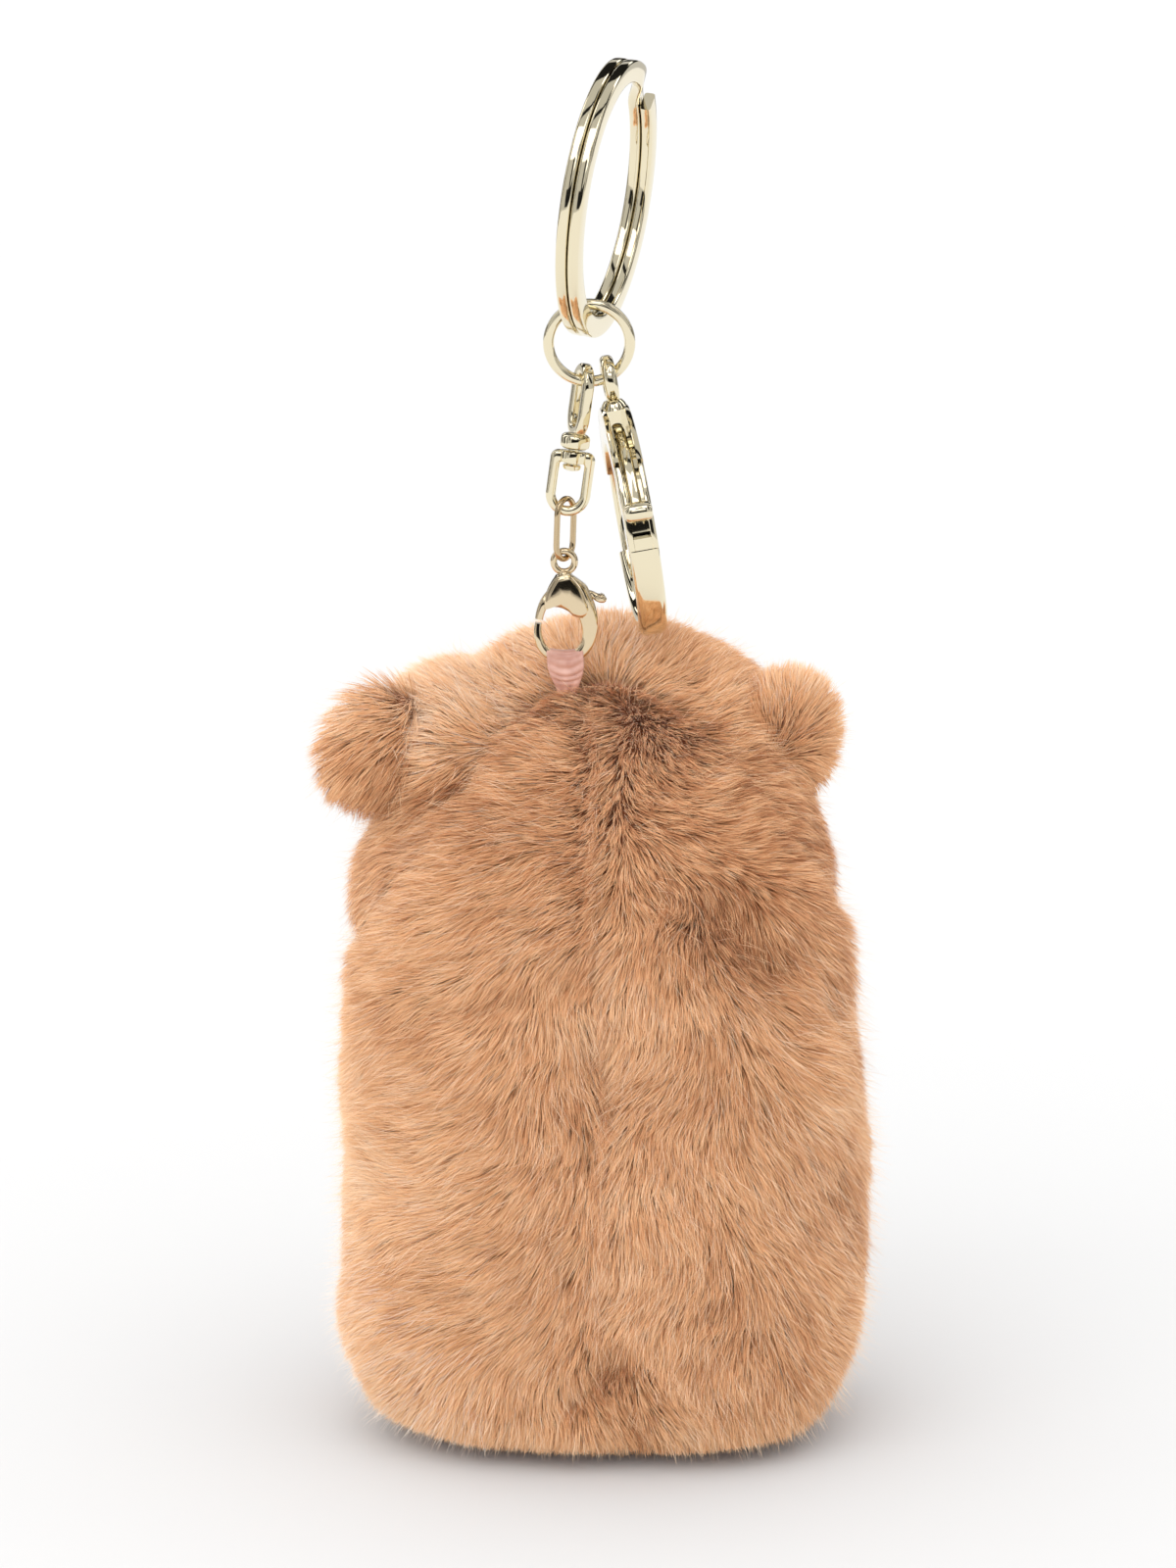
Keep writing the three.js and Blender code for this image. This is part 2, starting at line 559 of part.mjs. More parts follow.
// The satin ribbon: a loop round the claw's wire, widest there, whose ends go through the crown
// seam and are sewn inside.
function ribbonLoop(pivot) {
  const { thick, top, base, drop, tail } = RIBBON;
  const [round, bend, foot] = [1.45, -0.2, 0.4];
  const shape = new THREE.Shape().absarc(0, bend, round + thick, 0, Math.PI);
  shape.lineTo(-foot, -drop);
  shape.lineTo(foot, -drop);
  shape.closePath();
  const hole = new THREE.Path().absarc(0, bend, round, 0, Math.PI);
  hole.lineTo(0, thick - drop);
  hole.closePath();
  shape.holes.push(hole);
  const loop = plate(shape, 2, 0, ACROSS_X, 5);
  const tab = new THREE.BoxGeometry(2, 2 * foot, tail + 0.2, 1, 1, 2).translate(0, 0, -drop - tail / 2 + 0.1);
  const solid = joined(solidOf(loop), solidOf(tab));
  const geometry = geometryOf(solid);
  const { position } = geometry.attributes;
  for (let i = 0; i < position.count; i++) {
    const low = THREE.MathUtils.smoothstep(-position.getZ(i), 0, drop);
    position.setX(i, position.getX(i) * (top + (base - top) * low));
  }
  return mesh("ribbon_loop", geometry.translate(pivot.x, pivot.y, pivot.z), SATIN);
}

function ribbonPocket(pivot) {
  const { top, drop, tail } = RIBBON;
  const [w, d] = [top + GAP, 0.4 + GAP];
  const depth = drop + tail + GAP;
  return box([pivot.x - w, pivot.y - d, pivot.z - depth], [pivot.x + w, pivot.y + d, pivot.z]);
}

// ---------------------------------------------------------------- assembly
// Every moving body is a group whose origin is its pivot. turns names the group's own axis that it
// turns about.
function body(name, turns, parent, [x, y, z]) {
  const group = new THREE.Group();
  group.name = name;
  group.userData.turns = turns;
  group.position.set(x, y, z);
  parent.add(group);
  return group;
}

const stand = new THREE.Group();

const keyRing = body("key_ring", null, stand, RING_PLACE.centre);
keyRing.rotation.set(0, rad(RING_PLACE.lean), rad(RING_PLACE.turn));
keyRing.add(splitRing());
stand.updateMatrixWorld(true);

// The jump ring hangs on the lowest point of the split ring and rolls round its wire.
const ringLow = keyRing.localToWorld(new THREE.Vector3(0, 0, -ringRadius));
const jump = body("jump_ring_swing", "y", stand, ringLow.toArray());
jump.rotation.z = rad(RING_PLACE.turn);
const jumpSet = new THREE.Group();
jumpSet.rotation.set(rad(JUMP.tip), 0, rad(-RING_PLACE.turn), "ZXY");
jumpSet.add(jumpRing());
jump.add(jumpSet);

// A point on the jump ring's wire, this many degrees from its lowest point towards +X.
const onJumpRing = (degrees) => {
  const [x, z] = polar(jumpRadius, degrees - 90);
  return [x, 0, z - jumpDrop];
};

const swivelEyeBody = body("swivel_eye_swing", "-x", jumpSet, onJumpRing(EYE.at));
swivelEyeBody.rotation.set(rad(-JUMP.tip), rad(-EYE.at), 0, "YXZ");
const eyeMesh = swivelEye();
eyeMesh.rotation.z = rad(EYE.twist);
swivelEyeBody.add(eyeMesh);

const swivelLinkBody = body("swivel_link_turn", "z", swivelEyeBody, [0, 0, 0]);
swivelLinkBody.add(swivelLink());

const ovalBody = body("oval_link_swing", "x", swivelLinkBody, [0, 0, linkWire]);
ovalBody.rotation.y = rad(6);
ovalBody.add(ovalLink());

const lobsterBodyGroup = body("lobster_swing", "y", ovalBody, [0, 0, ovalWire]);
lobsterBodyGroup.rotation.z = rad(OVAL.twist);
const lobsterSet = new THREE.Group();
lobsterSet.rotation.set(0, rad(2), rad(-OVAL.twist), "ZYX");
lobsterSet.add(lobsterBody(), lobsterPin(), lobsterSpring());
lobsterBodyGroup.add(lobsterSet);
const lobsterLeverBody = body("lobster_lever_turn", "y", lobsterSet, [claw.pin[0], 0, claw.pin[1]]);
const lobsterLeverMesh = lobsterLever();
lobsterLeverMesh.position.set(-claw.pin[0], 0, -claw.pin[1]);
lobsterLeverBody.add(lobsterLeverMesh);

const clipBodyGroup = body("clip_swing", "x", jumpSet, onJumpRing(CLIP.at));
clipBodyGroup.rotation.set(rad(-JUMP.tip), rad(-CLIP.at), 0, "YXZ");
const clipSet = new THREE.Group();
clipSet.rotation.set(0, rad(CLIP.lean + CLIP.at), rad(10), "YXZ");
clipSet.add(clipBody(), clipPin(), clipSpring());
clipBodyGroup.add(clipSet);
const clipLeverBody = body("clip_lever_turn", "x", clipSet, [0, leverPivot[0], leverPivot[1] + clipCentre]);
[clipLever(), clipKnob()].forEach((piece) => {
  piece.position.set(0, -leverPivot[0], -leverPivot[1] - clipCentre);
  clipLeverBody.add(piece);
});

stand.updateMatrixWorld(true);
const ribbonPivot = lobsterSet.localToWorld(new THREE.Vector3(0, 0, clawWire));
const plush = body("plush_swing", "x", stand, ribbonPivot.toArray());
const animal = new THREE.Group();
animal.position.copy(ribbonPivot).negate();
const pockets = [ribbonPocket(ribbonPivot), ...eyePockets()];
const core = without(solidOf(bodyGeometry(BODY.cloth + GAP)), ...pockets);
animal.add(
  mesh("stuffing_core", core, FILL),
  ...fabricPanels(pockets),
  ...ear("left"),
  ...ear("right"),
  ...safetyEye("left", 1),
  ...safetyEye("right", -1),
  ...muzzleAndNose(),
  ...limbs(),
  ribbonLoop(ribbonPivot),
);
plush.add(animal);

// The origin is inside the top of the split ring, on the middle of the face that a hook bears on.
const hang = keyRing.localToWorld(new THREE.Vector3(0, 0, ringRadius - RING.wide / 2));
stand.position.copy(hang).negate();

const keychain = new THREE.Group();
keychain.add(stand);

export default keychain;
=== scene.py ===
"""Looks of a plush keychain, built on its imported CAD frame.

Lengths are in millimetres in the building code and become metres when a mesh is made. The animal
faces -Y; its own origin is on the floor plane, in the middle of its base.
"""

import json
import math

import bmesh
import bpy
import numpy as np
from mathutils import Euler, Matrix, Vector, kdtree


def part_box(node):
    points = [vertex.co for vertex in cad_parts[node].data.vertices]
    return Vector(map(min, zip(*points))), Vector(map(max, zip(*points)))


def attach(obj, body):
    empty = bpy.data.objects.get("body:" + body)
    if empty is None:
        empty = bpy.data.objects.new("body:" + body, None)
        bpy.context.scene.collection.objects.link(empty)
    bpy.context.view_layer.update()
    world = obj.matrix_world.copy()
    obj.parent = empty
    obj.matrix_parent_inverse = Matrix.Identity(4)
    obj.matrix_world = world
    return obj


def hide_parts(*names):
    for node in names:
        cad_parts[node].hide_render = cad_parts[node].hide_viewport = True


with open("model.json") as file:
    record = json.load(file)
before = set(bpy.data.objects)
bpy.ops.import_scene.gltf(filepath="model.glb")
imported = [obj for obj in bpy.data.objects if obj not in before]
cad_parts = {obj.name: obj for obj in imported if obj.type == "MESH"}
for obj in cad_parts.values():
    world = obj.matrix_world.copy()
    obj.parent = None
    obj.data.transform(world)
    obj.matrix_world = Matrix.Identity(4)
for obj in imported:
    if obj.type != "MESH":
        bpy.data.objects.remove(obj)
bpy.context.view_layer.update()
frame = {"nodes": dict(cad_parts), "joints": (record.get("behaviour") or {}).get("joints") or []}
MM = 0.001
RNG = np.random.default_rng(7)

# ------------------------------------------------------------------ dimensions, in mm
RING = {
    "od": 30, "wide": 2.4, "coil": 1.2, "edge": 0.32, "groove": 0.12, "cross": 118, "lean": -8, "turn": -15,
}
JUMP = {"od": 10, "wire": 1.2, "slack": 0.6, "gap_at": 62, "gap": 0.5, "tip": -12}
EYE = {
    "wire": 1.2, "edge": 0.34, "width": 5, "height": 8.2, "slack": 0.15, "stem": 1.45, "at": 8, "twist": 15,
}
LINK = {"width": 4.9, "height": 7.2, "wire": 1.1, "thick": 1.3, "boss": 1.5, "plate": 1.3}
OVAL = {
    "width": 4, "height": 7.4, "wire": 0.76, "play": 0.12, "edge": 0.27, "top": 0.95, "lean": 6, "twist": -35,
}
CLAW_LEAN = 2
CLIP = {"outer": 12.4, "inner": 10.4, "thick": 3.2, "eye": 1.85, "at": -29, "lean": 10.2, "turn": 10}
CLIP_RIM = 13  # the outer radius of the clip's housing
# The clip's channel: three radii, and its width and thickness across.
CHANNEL = {"inner": 9, "floor": 9.5, "wide": 1.9, "thick": 3.2, "middle": 11}
BODY = {"half_width": 27.3, "half_depth": 21.5, "top": 86.2, "middle": 42}
CROWN = {"slope": 0.66, "seam": 84, "fall": 0.045}
SEAMS = {"back": (1.3, 1.1), "crown": (1.6, 1.3), "side": (1.2, 0.7)}  # how wide and how deep
SIDE_SEAM = -6  # the depth, y, at which the back panels meet the front ones
NECK = 46  # the height at which the face panel meets the belly panel
EARS = {"left": ((24, 3, 77.8), 12), "right": ((-20.4, -0.5, 78.2), 52)}  # centre, and turn in degrees


def joint(name):
    """A joint's pivot in the row frame, in mm."""
    found = next(j for j in frame["joints"] if j["name"] == name)
    return Vector(found["pos_m"]) / MM


base_low, base_high = (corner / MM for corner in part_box("base_panel"))
BASE_LEAN = 3.5  # the base panel's middle is this far behind the animal's origin
ANIMAL = np.array([(base_low.x + base_high.x) / 2, (base_low.y + base_high.y) / 2 - BASE_LEAN, base_low.z])


# ------------------------------------------------------------------ meshes
def make(name, verts, faces, material, place=None, smooth=True, sharp=None):
    """A mesh object from points in mm, placed by a matrix whose translation is in mm."""
    mesh = bpy.data.meshes.new(name)
    mesh.from_pydata([tuple(v) for v in verts], [], faces)
    return finish_mesh(name, mesh, material, place, smooth, sharp)


def finish_mesh(name, mesh, material, place=None, smooth=True, sharp=None):
    if place is not None:
        mesh.transform(place)
    mesh.transform(Matrix.Scale(MM, 4))
    mesh.polygons.foreach_set("use_smooth", [smooth] * len(mesh.polygons))
    if sharp is not None:
        mesh.set_sharp_from_angle(angle=math.radians(sharp))
    if material is not None:
        mesh.materials.append(material)
    mesh.update()
    return in_scene(name, mesh)


def in_scene(name, data):
    """A new object for a mesh, curve, light or camera."""
    made = bpy.data.objects.new(name, data)
    bpy.context.scene.collection.objects.link(made)
    return made


def solid(name, verts, faces, material, place, sharp):
    """A mesh object whose faces are turned outwards."""
    made = make(name, verts, faces, material, place, sharp=sharp)
    fix_normals(made.data)
    return made


def fix_normals(mesh, merge=0):
    """Turns a mesh's faces outwards, once its points closer than merge are merged."""
    bm = bmesh.new()
    bm.from_mesh(mesh)
    if merge:
        bmesh.ops.remove_doubles(bm, verts=bm.verts, dist=merge)
    bmesh.ops.recalc_face_normals(bm, faces=bm.faces)
    bm.to_mesh(mesh)
    bm.free()


def join(name, pieces):
    """One object from several, which keep their materials."""
    with bpy.context.temp_override(active_object=pieces[0], selected_editable_objects=pieces):
        bpy.ops.object.join()
    pieces[0].name = name
    pieces[0].data.name = name
    return pieces[0]


def unit_rows(v):
    return v / np.maximum(np.linalg.norm(v, axis=1), 1e-9)[:, None]


def polar(radius, degrees):
    return radius * math.cos(math.radians(degrees)), radius * math.sin(math.radians(degrees))


def arc(radius, start, end, steps):
    """The points of an arc from start to end in degrees, both ends included."""
    return [polar(radius, start + (end - start) * i / steps) for i in range(steps + 1)]


def circle(radius, steps):
    return [polar(radius, 360 * i / steps) for i in range(steps)]


def rounded_rect(width, height, radius, steps=4):
    points = []
    for sx, sy, start in ((1, 1, 0), (-1, 1, 90), (-1, -1, 180), (1, -1, 270)):
        middle_x, middle_y = sx * (width / 2 - radius), sy * (height / 2 - radius)
        points += [(middle_x + x, middle_y + y) for x, y in arc(radius, start, start + 90, steps)]
    return points


def sweep(name, path, section, up, material, place=None, closed=True, scale=None, sharp=50):
    """A section, whose points are (sideways, along up), swept along a path."""
    path = np.array(path, float)
    section = np.array(section, float)
    tangent = np.roll(path, -1, 0) - np.roll(path, 1, 0) if closed else np.gradient(path, axis=0)
    tangent = unit_rows(tangent)
    side = unit_rows(np.cross(tangent, np.array(up, float)))
    top = np.cross(side, tangent)
    scale = np.ones((len(path), 2)) if scale is None else np.array(scale, float)
    across = section[None, :, 0, None] * scale[:, None, 0, None] * side[:, None, :]
    along = section[None, :, 1, None] * scale[:, None, 1, None] * top[:, None, :]
    verts = (path[:, None, :] + across + along).reshape(-1, 3)
    n, m = len(path), len(section)
    rings = range(n if closed else n - 1)
    faces = [
        (i * m + j, i * m + (j + 1) % m, (i + 1) % n * m + (j + 1) % m, (i + 1) % n * m + j)
        for i in rings
        for j in range(m)
    ]
    if not closed:
        faces += [tuple(reversed(range(m))), tuple(range((n - 1) * m, n * m))]
    return solid(name, verts, faces, material, place, sharp)


def capped(name, verts, around, material, place, sharp):
    """A solid from a first point, loops of so many points around it, and a last point."""
    starts, last = range(1, len(verts) - 1, around), len(verts) - 1
    faces = [(0, 1 + (i + 1) % around, 1 + i) for i in range(around)]
    for a, b in zip(starts, starts[1:]):
        faces += [(a + i, a + (i + 1) % around, b + (i + 1) % around, b + i) for i in range(around)]
    faces += [(starts[-1] + i, starts[-1] + (i + 1) % around, last) for i in range(around)]
    return solid(name, verts, faces, material, place, sharp)


def lathe(name, profile, material, place=None, steps=40, sharp=35):
    """A profile of (radius, height) turned round Z. Its ends are on the axis."""
    verts = [(0, 0, profile[0][1])]
    for r, z in profile[1:-1]:
        verts += [(x, y, z) for x, y in circle(r, steps)]
    verts.append((0, 0, profile[-1][1]))
    return capped(name, verts, steps, material, place, sharp)


def plate(name, loops, thick, bevel, material, place=None, rings=4, sharp=60):
    """A plate in the XY plane from an outline and its holes, with rounded edges."""
    curve = bpy.data.curves.new(name, "CURVE")
    curve.dimensions = "2D"
    curve.fill_mode = "BOTH"
    curve.extrude = thick / 2 - bevel
    curve.bevel_depth = bevel
    curve.bevel_resolution = rings
    curve.offset = -bevel
    for loop in loops:
        spline = curve.splines.new("POLY")
        spline.points.add(len(loop) - 1)
        spline.points.foreach_set("co", [c for x, y in loop for c in (x, y, 0, 1)])
        spline.use_cyclic_u = True
    drawn = in_scene(name, curve)
    graph = bpy.context.evaluated_depsgraph_get()
    mesh = bpy.data.meshes.new_from_object(drawn.evaluated_get(graph))
    bpy.data.objects.remove(drawn)
    bpy.data.curves.remove(curve)
    fix_normals(mesh, 0.002)
    mesh.materials.clear()
    return finish_mesh(name, mesh, material, place, sharp=sharp)


ACROSS_Y = Matrix(((1, 0, 0, 0), (0, 0, -1, 0), (0, 1, 0, 0), (0, 0, 0, 1)))  # outline x -> X, y -> Z


def stadium(width, height, middle, steps=16):
    r = width / 2
    up, low = middle + height / 2 - r, middle - height / 2 + r
    top = [(x, up + y) for x, y in arc(r, 0, 180, steps)]
    return top + [(x, low + y) for x, y in arc(r, 180, 360, steps)]


def spread(points, spacing=0.25):
    """A closed outline with its long straight stretches divided."""
    out = []
    for (x0, y0), (x1, y1) in zip(points, points[1:] + points[:1]):
        steps = max(1, round(math.hypot(x1 - x0, y1 - y0) / spacing))
        out += [(x0 + (x1 - x0) * i / steps, y0 + (y1 - y0) * i / steps) for i in range(steps)]
    return out


# ------------------------------------------------------------------ materials
def linear(*srgb):
    """Linear RGBA from 0-255 sRGB."""
    unit = [c / 255 for c in srgb]
    return [*(c / 12.92 if c <= 0.04045 else ((c + 0.055) / 1.055) ** 2.4 for c in unit), 1]


class Look:
    """A material whose nodes are added in order."""

    def __init__(self, name, **values):
        self.material = bpy.data.materials.new(name)
        self.material.use_nodes = True
        self.nodes = self.material.node_tree.nodes
        self.links = self.material.node_tree.links
        self.shader = self.nodes["Principled BSDF"]
        for key, value in values.items():
            self.shader.inputs[key.replace("_", " ")].default_value = value

    def node(self, kind, **inputs):
        made = self.nodes.new(kind)
        for key, value in inputs.items():
            made.inputs[key.replace("_", " ")].default_value = value
        return made

    def noise(self, scale, detail=3, rough=0.5, stretch=(1, 1, 1)):
        place = self.node("ShaderNodeTexCoord")
        mapping = self.node("ShaderNodeMapping", Scale=stretch)
        made = self.node("ShaderNodeTexNoise", Scale=scale, Detail=detail, Roughness=rough)
        self.links.new(place.outputs["Object"], mapping.inputs["Vector"])
        self.links.new(mapping.outputs["Vector"], made.inputs["Vector"])
        return made.outputs["Fac"]

    def ramp(self, value, stops):
        made = self.node("ShaderNodeValToRGB")
        ramp = made.color_ramp
        while len(ramp.elements) < len(stops):
            ramp.elements.new(0.5)
        for element, (at, colour) in zip(ramp.elements, stops):
            element.position = at
            element.color = colour if len(colour) == 4 else [*colour, 1]
        self.links.new(value, made.inputs["Fac"])
        return made.outputs["Color"]

    def span(self, value, low, high, socket):
        made = self.node("ShaderNodeMapRange", To_Min=low, To_Max=high)
        self.links.new(value, made.inputs["Value"])
        self.links.new(made.outputs["Result"], self.shader.inputs[socket])

    def bump(self, value, strength, distance):
        made = self.node("ShaderNodeBump", Strength=strength, Distance=distance)
        self.links.new(value, made.inputs["Height"])
        self.links.new(made.outputs["Normal"], self.shader.inputs["Normal"])

    def colour(self, socket):
        self.links.new(socket, self.shader.inputs["Base Color"])


def gold_look(name, colour, low, high):
    look = Look(name, Base_Color=colour, Metallic=1.0, Roughness=low)
    look.span(look.noise(900, 4, 0.6), low, high, "Roughness")
    look.bump(look.noise(350, 5, 0.55), 0.25, 0.00002)
    return look.material


GOLD = gold_look("champagne_gold", linear(238, 227, 197), 0.03, 0.09)
CLAW_GOLD = gold_look("warm_gold", linear(226, 206, 172), 0.05, 0.12)
DARK_GOLD = gold_look("antique_gold", linear(205, 182, 146), 0.05, 0.14)
STEEL = gold_look("spring_steel", linear(188, 186, 180), 0.2, 0.35)

PLAIN_LOOKS = {"lobster_pin": CLAW_GOLD, "clip_pin": GOLD, "lobster_spring": STEEL, "clip_spring": STEEL}
for node, look in PLAIN_LOOKS.items():
    for slot in frame["nodes"][node].material_slots:
        slot.material = look


# ------------------------------------------------------------------ where the metal hangs
def turn(axis, degrees):
    return Matrix.Rotation(math.radians(degrees), 4, axis)


def at(pivot, rotation):
    return Matrix.Translation(pivot) @ rotation


def along_z(distance):
    return Matrix.Translation((0, 0, distance))


ring_set = turn("Y", RING["lean"]) @ turn("Z", RING["turn"])
ring_radius = (RING["od"] - RING["wide"]) / 2
KEY_RING = at(joint("jump_ring_swing") - ring_set @ Vector((0, 0, -ring_radius)), ring_set)
jump_set = turn("X", JUMP["tip"])
JUMP_RING = at(joint("jump_ring_swing"), jump_set)
eye_set = jump_set @ turn("Y", -EYE["at"]) @ turn("X", -JUMP["tip"])
SWIVEL = at(joint("swivel_eye_swing"), eye_set)
oval_set = eye_set @ turn("Y", OVAL["lean"])
OVAL_LINK = at(joint("oval_link_swing"), oval_set)
lobster_set = oval_set @ turn("Y", CLAW_LEAN)
LOBSTER = at(joint("lobster_swing"), lobster_set)
clip_set = jump_set @ turn("Y", -CLIP["at"]) @ turn("X", -JUMP["tip"])
clip_set = clip_set @ turn("Y", CLIP["lean"] + CLIP["at"]) @ turn("Z", CLIP["turn"])
CLIP_SET = at(joint("clip_swing"), clip_set)
clip_drop = CLIP["eye"] + 0.38 + CLIP_RIM + 1.07  # from the joint down to the middle of the clip's ring
CLIP_RING = CLIP_SET @ along_z(-clip_drop)


def fit(piece, body, slot, *nodes):
    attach(piece, body)
    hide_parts(*nodes)
    return piece


# ------------------------------------------------------------------ split ring and jump ring
def split_ring():
    crossing, steps = 14, 260
    shift = (RING["coil"] + RING["groove"]) / 2
    path = []
    for i in range(steps + 1):
        turned = crossing + (720 - 2 * crossing) * i / steps
        t = min(max((turned - 360 + crossing) / (2 * crossing), 0), 1)
        y, z = polar(ring_radius, RING["cross"] + turned)
        path.append((shift * (2 * (t * t * (3 - 2 * t)) - 1), y, z))
    section = rounded_rect(RING["wide"], RING["coil"], RING["edge"], 4)
    return sweep("split_ring_wire", path, section, (1, 0, 0), GOLD, KEY_RING, closed=False, sharp=60)


def jump_ring():
    radius = (JUMP["od"] - JUMP["wire"]) / 2
    drop = radius - JUMP["wire"] / 2 - RING["wide"] / 2 - JUMP["slack"]
    start = JUMP["gap_at"] + JUMP["gap"]  # the gap, in degrees, is where the wire's ends butt
    end = JUMP["gap_at"] + 360 - JUMP["gap"]
    path = [(x, 0, z - drop) for x, z in arc(radius, start, end, 120)]
    section = circle(JUMP["wire"] / 2, 24)
    return sweep("jump_ring_wire", path, section, (0, 1, 0), GOLD, JUMP_RING, closed=False)


fit(split_ring(), "key_ring", "gold", "split_ring")
fit(jump_ring(), "jump_ring", "gold", "jump_ring")

# ------------------------------------------------------------------ swivel
eye_top = JUMP["wire"] / 2 + EYE["slack"] + EYE["wire"]
eye_bottom = eye_top - EYE["height"]
link_top = eye_bottom - EYE["stem"]


def swivel_eye():
    middle = (eye_top + eye_bottom) / 2
    outline = spread(stadium(EYE["width"] - EYE["wire"], EYE["height"] - EYE["wire"], middle))
    path = [(0, y, z) for y, z in outline]
    place = SWIVEL @ turn("Z", EYE["twist"])
    section = rounded_rect(EYE["wire"], EYE["wire"], EYE["edge"], 4)
    loop = sweep("loop", path, section, (1, 0, 0), GOLD, place)
    top, low = eye_bottom + 0.5, link_top + 0.25
    head_top = link_top - LINK["plate"] - 0.2
    head_low = head_top - 0.7
    profile = [
        (0, top), (0.9, top), (1.25, top - 0.08), (1.52, top - 0.3), (1.6, top - 0.55), (1.6, low + 0.42),
        (1.54, low + 0.2), (1.35, low + 0.05), (1.1, low), (0.6, low), (0.6, head_top), (0.85, head_top),
        (1, head_top - 0.12), (1, head_low + 0.4), (0.9, head_low + 0.18), (0.6, head_low + 0.02),
        (0, head_low),
    ]
    collar = lathe("collar", profile, GOLD, SWIVEL)
    return join("swivel_eye_loop", [loop, collar])


def link_outline(width, top, bottom, corner, steps=12):
    half = width / 2
    points = []
    for sx, start in ((1, 0), (-1, 90)):
        for x, y in arc(corner, start, start + 90, steps):
            points.append((sx * (half - corner) + x, top - corner + y))
    return points + [(x, bottom + half + y) for x, y in arc(half, 180, 360, 2 * steps)]


def swivel_link():
    w, wire = LINK["width"], LINK["wire"]
    outline = link_outline(w, link_top, link_top - LINK["height"], 0.9)
    hole = link_outline(w - 2 * wire, link_top - LINK["plate"], link_top - LINK["height"] + wire, 0.3)
    frame_plate = plate("frame", [outline, hole], LINK["thick"], 0.5, GOLD, SWIVEL @ ACROSS_Y)
    r, t = LINK["boss"], LINK["plate"]
    profile = [
        (0, link_top), (r - 0.2, link_top), (r - 0.05, link_top - 0.06), (r, link_top - 0.2),
        (r, link_top - t + 0.2), (r - 0.05, link_top - t + 0.06), (r - 0.2, link_top - t), (0, link_top - t),
    ]
    return join("swivel_link_frame", [frame_plate, lathe("boss", profile, GOLD, SWIVEL)])


def oval_link():
    top = OVAL["top"] + OVAL["wire"]
    middle = top - OVAL["height"] / 2
    outline = spread(stadium(OVAL["width"] - OVAL["wire"], OVAL["height"] - OVAL["wire"], middle))
    place = OVAL_LINK @ turn("Z", OVAL["twist"])
    thick = OVAL["wire"] - OVAL["play"]  # a little thinner than its path allows, so that it swings free
    section = rounded_rect(thick, thick, OVAL["edge"], 4)
    return sweep("oval_link_wire", [(0, y, z) for y, z in outline], section, (1, 0, 0), DARK_GOLD, place)


fit(swivel_eye(), "swivel_eye", "gold", "swivel_eye")
fit(swivel_link(), "swivel_link", "gold", "swivel_link")
fit(oval_link(), "oval_link", "dark_gold", "oval_link")


# ------------------------------------------------------------------ lobster clasp
def bezier(points, steps):
    """Points along joined cubic curves, given as start, control, control, end, control, ..."""
    out = []
    for k in range(0, len(points) - 1, 3):
        a, b, c, d = (np.array(p, float) for p in points[k:k + 4])
        for i in range(steps):
            t = i / steps
            out.append((1 - t) ** 3 * a + 3 * (1 - t) ** 2 * t * b + 3 * (1 - t) * t * t * c + t ** 3 * d)
    out.append(np.array(points[-1], float))
    return out


def shield(name, outline, thick, dome, material, place):
    """A domed plate: its outline shrinks towards its middle as it rises by dome over its thickness."""
    outline = np.array(outline, float)
    middle = outline.mean(0)
    rings = [(0.94, 0.0), (1.0, 0.1), (1.0, 0.9), (0.95, 1.0)]
    shrinks = [(math.cos(a), math.sin(a)) for a in np.radians([28, 42, 56, 68, 80])]
    verts = [(*middle, 0)]
    for size, level in rings:
        verts += [(*(middle + (p - middle) * size), thick * level) for p in outline]
    for size, rise in shrinks:
        verts += [(*(middle + (p - middle) * size * 1.06), thick + dome * (rise - 0.35)) for p in outline]
    verts.append((*middle, thick + dome * 0.65))
    return capped(name, verts, len(outline), material, place, 60)


def claw_bar(name, path, widths, depths, edge, steps):
    """A flat bar that follows path in the clasp's plane; widths and depths are (place, size) pairs."""
    n = len(path)
    scale = [np.interp(np.linspace(0, 1, n), *zip(*sizes)) for sizes in (widths, depths)]
    return sweep(name, [(x, 0, z) for x, z in path], rounded_rect(1, 2, edge, steps), (0, 1, 0), CLAW_GOLD,
                 LOBSTER, closed=False, scale=np.stack(scale, 1), sharp=75)


def claw_hook():
    """From the neck down the spine on -X, round the bottom and up to the tip."""
    path = bezier(
        [(0.1, -1.4), (-0.3, -2.6), (-1.5, -3.6), (-2.2, -5.2), (-3.3, -7.6), (-3, -10.9), (0, -11),
         (2.5, -11), (3.2, -8.9), (2.85, -7.1)],
        16,
    )
    widths = [(0, 0.75), (0.1, 1.7), (0.22, 2.7), (0.36, 2.2), (0.5, 1.45), (0.68, 1.1), (0.86, 1), (1, 0.75)]
    depths = [(0, 0.62), (0.12, 1), (0.3, 1), (0.6, 0.8), (0.9, 0.72), (1, 0.5)]
    return claw_bar("hook", path, widths, depths, 0.46, 6)


def claw_cheeks():
    """The head's two domed faces."""
    outline = bezier(
        [(-0.62, -1.5), (-1.3, -2.4), (-2.5, -3.2), (-2.75, -5.6), (-2.4, -6.8), (-1.7, -6.5), (-0.9, -6.2),
         (-0.2, -5.2), (1.4, -4.9), (2.1, -5.5), (2.5, -4.1), (1.4, -2.6), (0.62, -1.5)],
        10,
    )[:-1]
    thick, dome, inner = 0.3, 0.55, Matrix.Translation((0, -0.6, 0))
    sides = [LOBSTER @ Matrix.Scale(side, 4, (0, 1, 0)) @ inner @ ACROSS_Y for side in (1, -1)]
    return [shield("cheek", outline, thick, dome, CLAW_GOLD, place) for place in sides]


